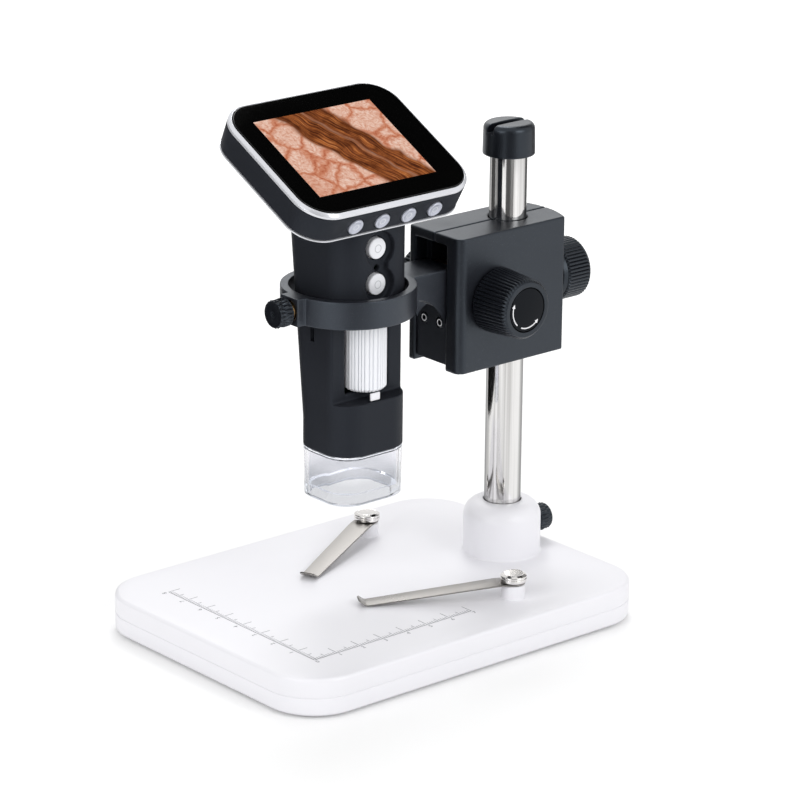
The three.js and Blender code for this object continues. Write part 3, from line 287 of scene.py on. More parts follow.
look = Matrix.Rotation(VIEW_AZIMUTH, 3, "Z") @ Matrix.Rotation(TURN / 4 - VIEW_ELEVATION, 3, "X")
look = look @ Matrix.Rotation(VIEW_ROLL, 3, "Z")
camera_data = bpy.data.cameras.new("camera")
camera_data.lens = LENS
camera_data.sensor_width = SENSOR
camera_data.clip_start = 0.05
camera_data.clip_end = 20
camera = bpy.data.objects.new("camera", camera_data)
eye = Vector(VIEW_AIM) * MM + look @ Vector((0, 0, VIEW_DISTANCE * MM))
camera.matrix_world = Matrix.Translation(eye) @ look.to_4x4()
SCENE.collection.objects.link(camera)
SCENE.camera = camera
SCENE.view_settings.view_transform = "Standard"
print("camera at", [round(v, 4) for v in eye])

# %% [markdown]
# ## Finishes
#
# Real surfaces are never one flat value. Every finish starts from the same group of nodes: a fine *grain*
# (the spark-eroded texture of the mould, or the lay of the polish) that tilts the normal a little, and a
# slow *cloud* that shifts colour and gloss by a few parts in a hundred, as handling does. Both read object
# coordinates, so they stay with the piece when it moves.

# %% Shared grain group
def node(tree, kind, at=(0, 0), **settings):
    """A new shader node; settings whose names are sockets set the socket's constant."""
    made = tree.nodes.new(kind)
    made.location = at
    for key, value in settings.items():
        if hasattr(made, key):
            setattr(made, key, value)
        else:
            made.inputs[key.replace("_", " ")].default_value = value
    return made


def wire(tree, *pairs):
    """Links each pair's output to its input."""
    for source, target in pairs:
        tree.links.new(source, target)


def grain_group():
    """Group: Size (grains per metre), Height, Cloud size, Stretch in; Cloud, Lay, Fleck, Normal out."""
    tree = bpy.data.node_groups.new("surface grain", "ShaderNodeTree")
    face = tree.interface
    for label, value in (("Size", 2500.0), ("Height", 0.1), ("Cloud size", 45.0)):
        face.new_socket(label, in_out="INPUT", socket_type="NodeSocketFloat").default_value = value
    stretch = face.new_socket("Stretch", in_out="INPUT", socket_type="NodeSocketVector")
    stretch.default_value = (1, 1, 1)
    for label, kind in (("Cloud", "Float"), ("Lay", "Float"), ("Fleck", "Float"), ("Normal", "Vector")):
        face.new_socket(label, in_out="OUTPUT", socket_type="NodeSocket" + kind)
    entry = node(tree, "NodeGroupInput", (-900, 0))
    leave = node(tree, "NodeGroupOutput", (500, 0))
    place = node(tree, "ShaderNodeTexCoord", (-900, 300))
    lay = node(tree, "ShaderNodeVectorMath", (-700, 200), operation="MULTIPLY")
    fine = node(tree, "ShaderNodeTexNoise", (-450, 200), Detail=3.0)
    slow = node(tree, "ShaderNodeTexNoise", (-450, -100), Detail=4.0)
    fleck = node(tree, "ShaderNodeTexNoise", (-450, -350), Detail=2.0)
    spots = node(tree, "ShaderNodeMapRange", (-200, -350), From_Min=0.62, From_Max=0.75)
    bump = node(tree, "ShaderNodeBump", (200, 200), Distance=0.0001)
    link = tree.links.new
    link(place.outputs["Object"], lay.inputs[0])
    link(entry.outputs["Stretch"], lay.inputs[1])
    link(lay.outputs[0], fine.inputs["Vector"])
    link(entry.outputs["Size"], fine.inputs["Scale"])
    link(place.outputs["Object"], slow.inputs["Vector"])
    link(entry.outputs["Cloud size"], slow.inputs["Scale"])
    link(lay.outputs[0], fleck.inputs["Vector"])
    link(entry.outputs["Size"], fleck.inputs["Scale"])
    link(fleck.outputs["Fac"], spots.inputs["Value"])
    link(fine.outputs["Fac"], bump.inputs["Height"])
    link(entry.outputs["Height"], bump.inputs["Strength"])
    link(slow.outputs["Fac"], leave.inputs["Cloud"])
    link(fine.outputs["Fac"], leave.inputs["Lay"])
    link(spots.outputs[0], leave.inputs["Fleck"])
    link(bump.outputs[0], leave.inputs["Normal"])
    return tree


GRAIN_GROUP = grain_group()


def finish(name, dark, light, roughness, metallic=0.0, size=2500.0, height=0.1, swing=0.06,
           stretch=(1, 1, 1), cloud=45.0, fleck=None, **extra):
    """A material whose colour runs from dark to light with the cloud, and whose gloss swings with it.

    Where the flecks are, the colour goes part of the way to a third one. Other names set sockets.
    """
    made = bpy.data.materials.new(name)
    made.use_nodes = True
    tree = made.node_tree
    link = tree.links.new
    surface = tree.nodes["Principled BSDF"]
    grain = node(tree, "ShaderNodeGroup", (-700, 0), node_tree=GRAIN_GROUP)
    grain.inputs["Size"].default_value = size
    grain.inputs["Height"].default_value = height
    grain.inputs["Cloud size"].default_value = cloud
    grain.inputs["Stretch"].default_value = stretch
    tone = node(tree, "ShaderNodeMix", (-350, 200), data_type="RGBA")
    tone.inputs[6].default_value = (*dark, 1)
    tone.inputs[7].default_value = (*light, 1)
    gloss = node(tree, "ShaderNodeMapRange", (-350, -100), From_Min=0.3, From_Max=0.7,
                 To_Min=roughness - swing, To_Max=roughness + swing)
    link(grain.outputs["Cloud"], tone.inputs[0])
    link(grain.outputs["Cloud"], gloss.inputs["Value"])
    coloured = tone.outputs[2]
    if fleck:
        spotted = node(tree, "ShaderNodeMix", (-150, 250), data_type="RGBA")
        spotted.inputs[7].default_value = (*fleck, 1)
        link(grain.outputs["Fleck"], spotted.inputs[0])
        link(coloured, spotted.inputs[6])
        coloured = spotted.outputs[2]
    link(coloured, surface.inputs["Base Color"])
    link(gloss.outputs[0], surface.inputs["Roughness"])
    link(grain.outputs["Normal"], surface.inputs["Normal"])
    surface.inputs["Metallic"].default_value = metallic
    for label, value in extra.items():
        surface.inputs[label.replace("_", " ")].default_value = value
    return made


def black(name, tone, roughness, gloss, **more):
    """A black finish: nearly no colour of its own, and a faint blue in its gloss."""
    return finish(name, [0.85 * part for part in tone], [1.2 * part for part in tone], roughness,
                  Specular_IOR_Level=gloss, Specular_Tint=(0.74, 0.86, 1.0, 1.0), **more)


# %% The object's finishes
FINISHES = {
    "white_plastic": finish("white_plastic", (0.838, 0.834, 0.868), (0.862, 0.856, 0.892), 0.3, height=0.0,
                            swing=0.02, cloud=14.0),
    "black_plastic": black("black_plastic", (0.006, 0.0062, 0.009), 0.38, 0.75, height=0.25,
                           fleck=(0.03, 0.033, 0.04)),
    "soft_black": black("soft_black", (0.0155, 0.0168, 0.0215), 0.5, 0.2, height=0.3),
    "knob_black": black("knob_black", (0.0045, 0.0048, 0.007), 0.32, 0.65, height=0.15),
    "inlay": black("inlay", (0.003, 0.003, 0.004), 0.1, 0.15, height=0.02, swing=0.03),
    "screen_glass": finish("screen_glass", (0.001, 0.001, 0.001), (0.002, 0.002, 0.002), 0.06, height=0.0,
                           swing=0.02),
    "panel": finish("panel", (0.02, 0.02, 0.024), (0.03, 0.03, 0.036), 0.2),
    "cast_black": black("cast_black", (0.012, 0.0125, 0.017), 0.36, 0.85, size=3500.0, height=0.35,
                        fleck=(0.05, 0.05, 0.055)),
    "polished_steel": finish("polished_steel", (0.84, 0.83, 0.82), (0.90, 0.89, 0.88), 0.08, 1.0, 900.0, 0.02,
                             0.03, (1, 1, 0.006)),
    "spring_steel": finish("spring_steel", (0.34, 0.325, 0.31), (0.40, 0.385, 0.37), 0.3, 1.0, 1500.0, 0.12,
                           0.08),
    "screw_steel": finish("screw_steel", (0.86, 0.84, 0.82), (0.96, 0.94, 0.92), 0.16, 1.0, 2500.0, 0.05,
                          0.06),
    "bright_trim": finish("bright_trim", (0.72, 0.73, 0.77), (0.80, 0.81, 0.85), 0.22, 0.5, height=0.03),
    "silver_button": finish("silver_button", (0.50, 0.52, 0.60), (0.58, 0.60, 0.68), 0.3, 0.55, height=0.05),
    "brass": finish("brass", (0.42, 0.25, 0.11), (0.52, 0.32, 0.15), 0.3, 1.0, height=0.1, swing=0.1),
    "rubber": finish("rubber", (0.012, 0.012, 0.012), (0.02, 0.02, 0.02), 0.8, height=0.4),
    "white_board": finish("white_board", (0.70, 0.71, 0.72), (0.76, 0.77, 0.78), 0.5),
    "green_board": finish("green_board", (0.01, 0.10, 0.035), (0.015, 0.15, 0.05), 0.45),
    "battery": finish("battery", (0.03, 0.12, 0.30), (0.05, 0.17, 0.38), 0.4),
    "clear": finish("clear", (0.86, 0.865, 0.90), (0.88, 0.885, 0.92), 0.03, height=0.0, swing=0.02,
                    Transmission_Weight=1.0, IOR=1.36),
    "lens": finish("lens", (0.80, 0.86, 0.92), (0.85, 0.90, 0.95), 0.03, height=0.0, swing=0.01,
                   Transmission_Weight=1.0, IOR=1.6),
}


def drawn(made, dark, rim):
    """Adds darker lines and a darker rim to a finish: the lay of drawn steel, painted reflection and painted
    shade.

    The lines are the lay of the polish and in part a painted reflection of streaks. The rim is a painted
    shade: the colour darkens where the surface turns away from the view.
    """
    tree = made.node_tree
    surface = tree.nodes["Principled BSDF"]
    coloured = surface.inputs["Base Color"].links[0].from_socket
    # Lay of the polish, which in part also stands for streaks of painted reflection.
    lay = node(tree, "ShaderNodeMapRange", (-350, 500), From_Min=0.40, From_Max=0.62)
    # Painted shade: where the surface turns away from the view, the colour goes to the dark rim tone.
    edge = node(tree, "ShaderNodeLayerWeight", (-550, 700), Blend=0.5)
    facing = node(tree, "ShaderNodeMapRange", (-350, 700), From_Min=0.42, From_Max=0.72)
    streaks = node(tree, "ShaderNodeMix", (0, 400), data_type="RGBA")
    rim_shaded = node(tree, "ShaderNodeMix", (150, 400), data_type="RGBA")
    streaks.inputs[7].default_value = (*dark, 1)
    rim_shaded.inputs[7].default_value = (*rim, 1)
    grain = next(part for part in tree.nodes if part.bl_idname == "ShaderNodeGroup")
    wire(tree, (grain.outputs["Lay"], lay.inputs["Value"]), (lay.outputs[0], streaks.inputs[0]),
         (coloured, streaks.inputs[6]), (edge.outputs["Facing"], facing.inputs["Value"]),
         (facing.outputs[0], rim_shaded.inputs[0]), (streaks.outputs[2], rim_shaded.inputs[6]),
         (rim_shaded.outputs[2], surface.inputs["Base Color"]))


# The pillar's steel: darker lines, in part painted reflection, and a painted shade at its rim.
drawn(FINISHES["polished_steel"], (0.60, 0.59, 0.58), (0.14, 0.14, 0.14))
FINISHES["ruler_ink"] = finish("ruler_ink", (0.16, 0.16, 0.18), (0.26, 0.26, 0.29), 0.5)
FINISHES["white_print"] = finish("white_print", (0.78, 0.78, 0.80), (0.86, 0.86, 0.88), 0.5)
FINISHES["grey_print"] = finish("grey_print", (0.50, 0.51, 0.54), (0.58, 0.59, 0.62), 0.5)
FINISHES["wheel_white"] = finish("wheel_white", (0.84, 0.85, 0.89), (0.88, 0.89, 0.92), 0.15, height=0.0)
FINISHES["oxide_black"] = black("oxide_black", (0.006, 0.006, 0.007), 0.3, 0.7)

# %% [markdown]
# The screen shows what the lens would see. It is painted by the material alone, on the glass's own
# millimetre grid: a generic specimen of Voronoi cells, pale inside and rust red at their walls, and dark
# fibre bundles that cross it. A bundle is noise stretched along its own direction.

# %% Screen picture
def screen_picture(middle, half, uv_span):
    """Black gloss glass that glows with a generic specimen inside a rectangle, given in mm on its UV map."""
    made = finish("screen_picture", (0.001, 0.001, 0.001), (0.002, 0.002, 0.002), 0.05, height=0.0,
                  swing=0.01)
    tree = made.node_tree
    link = tree.links.new
    surface = tree.nodes["Principled BSDF"]

    def maths(operation, first, second=None, clamp=False):
        """Output of a maths node fed with numbers or other outputs."""
        step = node(tree, "ShaderNodeMath", operation=operation, use_clamp=clamp)
        for slot_index, value in enumerate((first, second)):
            if value is None:
                continue
            if isinstance(value, (int, float)):
                step.inputs[slot_index].default_value = value
            else:
                link(value, step.inputs[slot_index])
        return step.outputs[0]

    def ramp(value, *stops):
        """Output of a colour ramp through (place, colour) stops."""
        step = node(tree, "ShaderNodeValToRGB")
        link(value, step.inputs[0])
        bar = step.color_ramp.elements
        while len(bar) < len(stops):
            bar.new(0.5)
        for element, (place, colour) in zip(bar, stops):
            element.position = place
            element.color = (*colour, 1)
        return step.outputs[0]

    def blend(share, first, second, mode="MIX"):
        """Output of a colour mix of the first and the second by a share."""
        step = node(tree, "ShaderNodeMix", data_type="RGBA", blend_type=mode)
        for slot_index, value in ((0, share), (6, first), (7, second)):
            if isinstance(value, float):
                step.inputs[slot_index].default_value = value
            else:
                link(value, step.inputs[slot_index])
        return step.outputs[2]

    grid = node(tree, "ShaderNodeUVMap", uv_map="screen")
    to_mm = node(tree, "ShaderNodeMapping", vector_type="POINT")
    to_mm.inputs["Scale"].default_value = (uv_span, uv_span, 1)
    to_mm.inputs["Location"].default_value = (-uv_span / 2 - middle[0], -uv_span / 2 - middle[1], 0)
    link(grid.outputs[0], to_mm.inputs["Vector"])
    wobble = node(tree, "ShaderNodeTexNoise", Scale=0.22, Detail=2.0)
    link(to_mm.outputs[0], wobble.inputs["Vector"])
    shift = node(tree, "ShaderNodeVectorMath", operation="MULTIPLY_ADD")
    shift.inputs[1].default_value = (4.5, 4.5, 0)
    link(wobble.outputs["Color"], shift.inputs[0])
    link(to_mm.outputs[0], shift.inputs[2])
    place = node(tree, "ShaderNodeSeparateXYZ")
    link(to_mm.outputs[0], place.inputs[0])
    across, upward = place.outputs[0], place.outputs[1]

    def cells(size):
        """Distance to the nearest wall between cells of this size in mm."""
        walls = node(tree, "ShaderNodeTexVoronoi", feature="DISTANCE_TO_EDGE", Scale=1 / size)
        link(shift.outputs[0], walls.inputs["Vector"])
        return walls.outputs["Distance"]

    mottle = node(tree, "ShaderNodeTexNoise", Scale=0.9, Detail=6.0, Roughness=0.65)
    link(shift.outputs[0], mottle.inputs["Vector"])
    skin_tone = ramp(mottle.outputs["Fac"], (0.32, (0.62, 0.28, 0.19)), (0.48, (0.82, 0.50, 0.38)),
                     (0.62, (0.89, 0.64, 0.53)), (0.78, (0.93, 0.78, 0.72)))
    big_wall = ramp(cells(10.5), (0.0, (0.62, 0.26, 0.13)), (0.04, (0.78, 0.46, 0.32)), (0.13, (1, 1, 1)))
    small_wall = ramp(cells(3.4), (0.0, (0.80, 0.58, 0.48)), (0.09, (1, 1, 1)))
    tissue = blend(0.85, blend(0.55, skin_tone, small_wall, "MULTIPLY"), big_wall, "MULTIPLY")

    angle = math.radians(62)
    cosine = math.cos(angle)
    sine = math.sin(angle)
    along = maths("ADD", maths("MULTIPLY", across, cosine), maths("MULTIPLY", upward, -sine))
    aside = maths("ADD", maths("MULTIPLY", across, sine), maths("MULTIPLY", upward, cosine))
    bend = node(tree, "ShaderNodeTexNoise", Scale=0.09, Detail=1.0)
    link(to_mm.outputs[0], bend.inputs["Vector"])
    aside = maths("ADD", aside, maths("MULTIPLY", bend.outputs["Fac"], 7.0))
    strand = node(tree, "ShaderNodeCombineXYZ")
    link(maths("MULTIPLY", aside, 1.5), strand.inputs[0])
    link(maths("MULTIPLY", along, 0.07), strand.inputs[1])
    fibres = node(tree, "ShaderNodeTexNoise", Scale=1.0, Detail=5.0, Roughness=0.7)
    link(strand.outputs[0], fibres.inputs["Vector"])
    bundle = ramp(fibres.outputs["Fac"], (0.30, (0.030, 0.008, 0.004)), (0.46, (0.17, 0.045, 0.016)),
                  (0.58, (0.46, 0.14, 0.035)), (0.74, (0.80, 0.36, 0.14)))
    patch = node(tree, "ShaderNodeTexNoise", Scale=0.16, Detail=3.0)
    link(to_mm.outputs[0], patch.inputs["Vector"])
    stain = ramp(patch.outputs["Fac"], (0.38, (0.30, 0.22, 0.20)), (0.58, (1, 1, 1)))
    bundle = blend(0.8, bundle, stain, "MULTIPLY")
    for centre, width in ((3.4, 4.6), (12.8, 3.2)):
        off = maths("ABSOLUTE", maths("SUBTRACT", aside, centre))
        border = maths("SUBTRACT", 1.0, maths("MULTIPLY", maths("SUBTRACT", off, width), 0.42), clamp=True)
        share = maths("MULTIPLY", border, 0.9)
        rim_tone = ramp(border, (0.0, (0.75, 0.42, 0.28)), (0.7, (0.20, 0.06, 0.02)))
        tissue = blend(share, tissue, rim_tone)
        inside = maths("SUBTRACT", 1.0, maths("MULTIPLY", maths("SUBTRACT", off, width), 1.4), clamp=True)
        tissue = blend(inside, tissue, bundle)

    within_u = maths("LESS_THAN", maths("ABSOLUTE", across), half[0])
    within_v = maths("LESS_THAN", maths("ABSOLUTE", upward), half[1])
    shown = maths("MULTIPLY", within_u, within_v)
    link(tissue, surface.inputs["Emission Color"])
    link(maths("MULTIPLY", shown, 0.92), surface.inputs["Emission Strength"])
    return made


DISPLAY_MIDDLE = (-1.8, 0.0)
DISPLAY_HALF = (25.25, 19.75)
UV_SPAN = 100.0
FINISHES["screen_picture"] = screen_picture(DISPLAY_MIDDLE, DISPLAY_HALF, UV_SPAN)

# %% CAD nodes that stay inside keep their shape and get the same finishes
for cad_node, cad_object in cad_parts.items():
    label = cad_object.data.materials[0].name.split(".")[0] if cad_object.data.materials else ""
    if label in FINISHES:
        cad_object.data.materials.clear()
        cad_object.data.materials.append(FINISHES[label])
    else:
        print("no finish for", cad_node, label)
print("finishes:", len(FINISHES))

# %% [markdown]
# ## Studio
#
# The photograph is a catalogue shot: white all round, soft light from above and the front, no hard shadow.
# A white world does most of it, and three large weak lamps add direction. The floor is lifted a little where
# the camera sees it, so it stays white up to the horizon and keeps the soft shadow under the base.
#
# Polished steel in a white room has no edges, so cards stand where the steel and the black faces look: dark
# ones to the left and before the pillar, a glowing one behind for the upward faces. Only reflections see
# them, as with a photographer's flags. Each is placed by its angle round the pillar from the camera.

# %% Floor and world
FLOOR_HALF = 3000.0
FLOOR_LEVEL = span("foot_1")[0][2]
FLOOR_LIFT = (0.115, 0.36)
LIFT_REACH = (0.12, 0.7)
WORLD_STRENGTH = 0.8

floor = solid(box(-FLOOR_HALF, FLOOR_HALF, -FLOOR_HALF, FLOOR_HALF, FLOOR_LEVEL - 10, FLOOR_LEVEL),
              name="floor")
floor_white = finish("studio_floor", (0.87, 0.87, 0.87), (0.88, 0.88, 0.88), 0.9, cloud=4.0,
                     Specular_IOR_Level=0.0, Emission_Color=(1, 1, 1, 1))
shade = floor_white.node_tree
rays = node(shade, "ShaderNodeLightPath", (-900, -400))
seen = node(shade, "ShaderNodeMath", (-700, -400), operation="MAXIMUM")
place = node(shade, "ShaderNodeTexCoord", (-900, -700))
away = node(shade, "ShaderNodeVectorMath", (-700, -700), operation="LENGTH")
lift = node(shade, "ShaderNodeMapRange", (-500, -700), interpolation_type="SMOOTHSTEP",
            From_Min=LIFT_REACH[0], From_Max=LIFT_REACH[1], To_Min=FLOOR_LIFT[0], To_Max=FLOOR_LIFT[1])
glow = node(shade, "ShaderNodeMath", (-300, -400), operation="MULTIPLY")
wire(shade, (rays.outputs["Is Camera Ray"], seen.inputs[0]),
     (rays.outputs["Is Transmission Ray"], seen.inputs[1]),
     (place.outputs["Object"], away.inputs[0]), (away.outputs["Value"], lift.inputs["Value"]),
     (seen.outputs[0], glow.inputs[0]), (lift.outputs[0], glow.inputs[1]),
     (glow.outputs[0], shade.nodes["Principled BSDF"].inputs["Emission Strength"]))
floor.data.materials.append(floor_white)

world = bpy.data.worlds.new("studio")
SCENE.world = world
world.use_nodes = True
world.node_tree.nodes["Background"].inputs["Color"].default_value = (1, 1, 1, 1)
world.node_tree.nodes["Background"].inputs["Strength"].default_value = WORLD_STRENGTH
print("floor at", round(FLOOR_LEVEL, 2), "mm")

# %% Lamps and cards
POLE = sum(span("pillar_tube")) / 2


def aimed(at, toward):
    """Matrix that takes a thing to a place in mm and turns its +Z along a direction."""
    return Matrix.Translation(Vector(at) * MM) @ toward.to_track_quat("Z", "Y").to_matrix().to_4x4()


def softbox(name, at, aim, size, power):
    """A square area light at a place, in mm, aimed at another."""
    data = bpy.data.lights.new(name, "AREA")
    data.size = size * MM
    data.energy = power
    lamp = bpy.data.objects.new(name, data)
    lamp.matrix_world = aimed(at, Vector(at) - Vector(aim))
    SCENE.collection.objects.link(lamp)
    return lamp


def card(name, at, aim, width, height, shade, glow=0.0):
    """A card that only mirror reflections see, centred at a place and facing another, in mm."""
    made = solid(box(-width / 2, width / 2, -height / 2, height / 2, -1, 1), name=name)
    made.data.transform(aimed(at, Vector(aim) - Vector(at)))
    made.data.materials.append(finish(name, [shade * 0.9] * 3, [shade] * 3, 0.9, Specular_IOR_Level=0.0,
                                      Emission_Color=(1, 1, 1, 1), Emission_Strength=glow))
    for ray in ("camera", "diffuse", "shadow", "transmission", "volume_scatter"):
        setattr(made, "visible_" + ray, False)
    return made


def standing(name, turn, half_angle, shade, distance=330.0, height=400.0):
    """A card that stands round the pillar, at an angle to the right of the camera's direction."""
    angle = VIEW_AZIMUTH + math.radians(turn)
    middle = height / 2 + FLOOR_LEVEL + 1
    at = (POLE[0] + distance * math.sin(angle), POLE[1] - distance * math.cos(angle), middle)
    width = 2 * distance * math.tan(math.radians(half_angle))
    return card(name, at, (POLE[0], POLE[1], middle), width, height, shade)


LAMPS = [
    softbox("front light", (150, -1100, 600), (0, 0, 60), 700, 3.6),
    softbox("left light", (-1100, -150, 500), (0, 0, 60), 700, 2.9),
    softbox("top light", (430, 500, 1100), (0, 0, 40), 420, 3.6),
]
CARDS = [
    card("glass card", (420, 60, 640), (0, 0, 150), 420, 420, 0.002),
    card("sky card", (390, 450, 420), (20, 0, 180), 420, 240, 0.2, 1.5),
    card("left card", (-85, 115, 48), (-1, 0, 48), 220, 94, 0.01),
    standing("left dark", -104, 18, 0.09),
    standing("left grey", -71, 14, 0.32),
    standing("left line", -50, 4, 0.03),
    standing("front grey", 0, 15, 0.14),
    standing("front pale", 23, 8, 0.35),
    standing("right grey", 134, 16, 0.25),
]
print("stage set:", len(LAMPS), "lamps,", len(CARDS), "cards")

# %% [markdown]
# ## Base
#
# Two injection-moulded covers, one over the other, with a fine shadow line between them. The upper one
# carries the boss for the pillar, whose shoulder is well rounded, and two posts for the clips. Each cover
# is a hollow cup: the profile runs up the inside wall, over the rim and up the outside, so one stack of
# rounded outlines makes both faces at once.

# %% Base covers
top_low, top_high = span("base_top_cover")
low_low, low_high = span("base_lower_cover")
BASE_HALF_X = top_high[0]
BASE_HALF_Y = top_high[1]
BASE_CORNER = 18.7
DECK = 13.5
COVER_WALL = 2.4
COVER_ROOF = 2.5
SEAM_ROUND = 0.12
TONGUE_INSET = 0.2
EDGE_ROUND = 1.3
BOSS_RADIUS = 13.9
BOSS_SHOULDER = 6.0
BOSS_TOP = top_high[2]
BOSS_FOOT_ROUND = 0.8
pillar_low, pillar_high = span("pillar_tube")
PILLAR = (pillar_low + pillar_high) / 2
PILLAR_RADIUS = (pillar_high[0] - pillar_low[0]) / 2
FIT = 0.3
POST_RADIUS = 4.15
POST_TOP = 18.5
screw_boxes = {name: span("clip_screw_" + name) for name in ("rear", "front")}
POSTS = {name: (low + high)[:2] / 2 for name, (low, high) in screw_boxes.items()}
POST_BORE = 1.5


def on_pillar(shape):
    """The same skin, moved from the origin to the pillar's axis."""
    return placed(shape, at=(*PILLAR[:2], 0))


def base_outline(inset):
    """The base from above, drawn in by inset."""
    return rounded_box(-BASE_HALF_X, BASE_HALF_X, -BASE_HALF_Y, BASE_HALF_Y, BASE_CORNER, inset, 16)


def boss_profile(radius, top, shoulder, foot, below):
    """Outside of a moulded boss: a fillet at its foot on the deck, straight side, rounded shoulder."""
    return filleted([
        (radius + foot * 2, DECK - below, 0), (radius + foot * 2, DECK, 0.01), (radius, DECK, foot),
        (radius, top, shoulder), (radius - shoulder - 0.5, top, 0)], steps=10)


top_profile = filleted([
    (COVER_WALL + 4, DECK - COVER_ROOF, 0), (COVER_WALL, DECK - COVER_ROOF, 1), (COVER_WALL, top_low[2], 0.2),
    (0, top_low[2], SEAM_ROUND), (0, DECK, EDGE_ROUND), (6, DECK, 0)])
top_cover = solid(stacked(base_outline, top_profile))
combine(top_cover, "UNION", [
    on_pillar(turned(boss_profile(BOSS_RADIUS, BOSS_TOP, BOSS_SHOULDER, BOSS_FOOT_ROUND, 1), 128)),
    *(placed(turned(boss_profile(POST_RADIUS, POST_TOP, 0.4, 0.5, 1), 64), at=(*spot, 0))
      for spot in POSTS.values()),
])
boss_screw_low, boss_screw_high = span("boss_thumbscrew")
BOSS_SCREW_Z = (boss_screw_low[2] + boss_screw_high[2]) / 2
STEM_RADIUS = 2.1
combine(top_cover, "DIFFERENCE", [
    on_pillar(turned(filleted([(PILLAR_RADIUS + FIT, 0, 0), (PILLAR_RADIUS + FIT, BOSS_TOP - 0.01, 0.3),
                               (PILLAR_RADIUS + 2, BOSS_TOP + 1, 0)]), 96)),
    placed(rod(STEM_RADIUS + FIT, PILLAR[0], top_high[0]), "x", (0, PILLAR[1], BOSS_SCREW_Z)),
    *(placed(rod(POST_BORE, 8, POST_TOP + 1), at=(*spot, 0)) for spot in POSTS.values()),
])
mount(top_cover, "base_upper_moulding", "base", "white_plastic", ["base_top_cover"])

FOOT_RADIUS = 6.0
BASE_SCREW_RADIUS = 3.0
tongue_top = top_low[2] - 0.04
low_profile = filleted([
    (COVER_WALL + 4, 3, 0), (COVER_WALL, 3, 1), (COVER_WALL, tongue_top, 0.1), (TONGUE_INSET, tongue_top, 0),
    (TONGUE_INSET, low_high[2], 0), (0, low_high[2], SEAM_ROUND), (0, low_low[2], EDGE_ROUND),
    (6, low_low[2], 0)])[::-1]
lower_cover = solid(stacked(base_outline, low_profile))
feet = [span(f"foot_{i}") for i in range(1, 5)]
base_screws = [span(f"base_screw_{i}") for i in range(1, 5)]
combine(lower_cover, "DIFFERENCE", [
    *(placed(rod(FOOT_RADIUS, -1, high[2] + 0.2), at=(*((low + high)[:2] / 2), 0)) for low, high in feet),
    *(placed(rod(BASE_SCREW_RADIUS, -1, 2), at=(*((low + high)[:2] / 2), 0)) for low, high in base_screws),
])
mount(lower_cover, "base_lower_moulding", "base", "white_plastic", ["base_lower_cover"])

# %% [markdown]
# ## Pillar, cap and thumbscrews
#
# The pillar is drawn steel tube, polished along its length, so its fine scratches run up and down; the darker
# lines in its finish are in part painted reflection, and its rim carries a painted shade. The cap is a soft
# moulded plug with a slot for a coin. The thumbscrews are knurled: two sets of slanting grooves cross and
# leave small raised diamonds for the fingers.

# %% Pillar and cap
PILLAR_BORE = PILLAR_RADIUS - 1.2
tube = filleted([(PILLAR_BORE, pillar_low[2], 0.2), (PILLAR_RADIUS, pillar_low[2], 0.3),
                 (PILLAR_RADIUS, pillar_high[2], 0.3), (PILLAR_BORE, pillar_high[2], 0.2)], closed=True)
pillar = solid(on_pillar(turned(tube, 128, closed=True)))
mount(pillar, "pillar_polished_tube", "pillar", "polished_steel", ["pillar_tube"])

cap_low, cap_high = span("pillar_cap")
CAP_RADIUS = (cap_high[0] - cap_low[0]) / 2
CAP_SEAT = pillar_high[2] + FIT
CAP_SLOT_WIDTH = 3.0
CAP_SLOT_FLOOR = cap_high[2] - 3.4
cap_profile = filleted([
    (PILLAR_BORE - 1.5, cap_low[2], 0), (PILLAR_BORE - FIT, cap_low[2], 0.6),
    (PILLAR_BORE - FIT, CAP_SEAT, 0.1), (CAP_RADIUS, CAP_SEAT, 0.4),
    (CAP_RADIUS - 0.2, cap_high[2] - 0.2, 2.3), (1.0, cap_high[2], 0)], steps=8)
cap = solid(on_pillar(turned(cap_profile, 128)))
combine(cap, "DIFFERENCE", [
    on_pillar(box(-20, 20, -CAP_SLOT_WIDTH / 2, CAP_SLOT_WIDTH / 2, CAP_SLOT_FLOOR, cap_high[2] + 3))])
relaxed(cap, grain=0.22, passes=4)
mount(cap, "pillar_cap_moulding", "pillar", "knob_black", ["pillar_cap"])

# %% Thumbscrews
KNURL_COUNT = 22
KNURL_PITCH = 7.0
KNURL_DEPTH = 0.5


def knurl(low, high):
    """Depth of a diamond knurl between two heights: two crossing sets of slanting cosine grooves."""
    def carve(angle, height):
        slant = TURN * height / KNURL_PITCH
        crossing = (1 + np.cos(KNURL_COUNT * angle + slant)) * (1 + np.cos(KNURL_COUNT * angle - slant)) / 4
        inside = np.clip((height - low) / 0.3, 0, 1) * np.clip((high - height) / 0.3, 0, 1)
        return KNURL_DEPTH * (1 - crossing) * inside
    return carve


def thumbscrew(node_name, axis, body, name, knob_length=5.6):
    """A knurled thumbscrew in the box of a CAD node, whose stem starts at the far end from the axis's tip."""
    low, high = span(node_name)
    along = "xyz".index(axis[-1])
    length = high[along] - low[along]
    radius = (high - low)[2] / 2
    foot = (low + high) / 2
    foot[along] = high[along] if axis.startswith("-") else low[along]
    start = length - knob_length
    face = length
    rows = [(radius, start + 0.5 + step * 0.15, 0) for step in range(int((knob_length - 1.0) / 0.15) + 1)]
    profile = filleted([(STEM_RADIUS - 0.4, 0, 0), (STEM_RADIUS, 0.4, 0), (STEM_RADIUS, start, 0.2),
                        (radius - 0.5, start, 0.1), *rows, (radius - 0.5, face, 0.15), (1.1, face, 0.1),
                        (0.9, face - 0.6, 0), (0.3, face - 0.75, 0)])
    shape = turned(profile, 264, carve=knurl(start + 0.4, face - 0.3))
    return mount(solid(placed(shape, axis, foot)), name, body, "knob_black", [node_name])


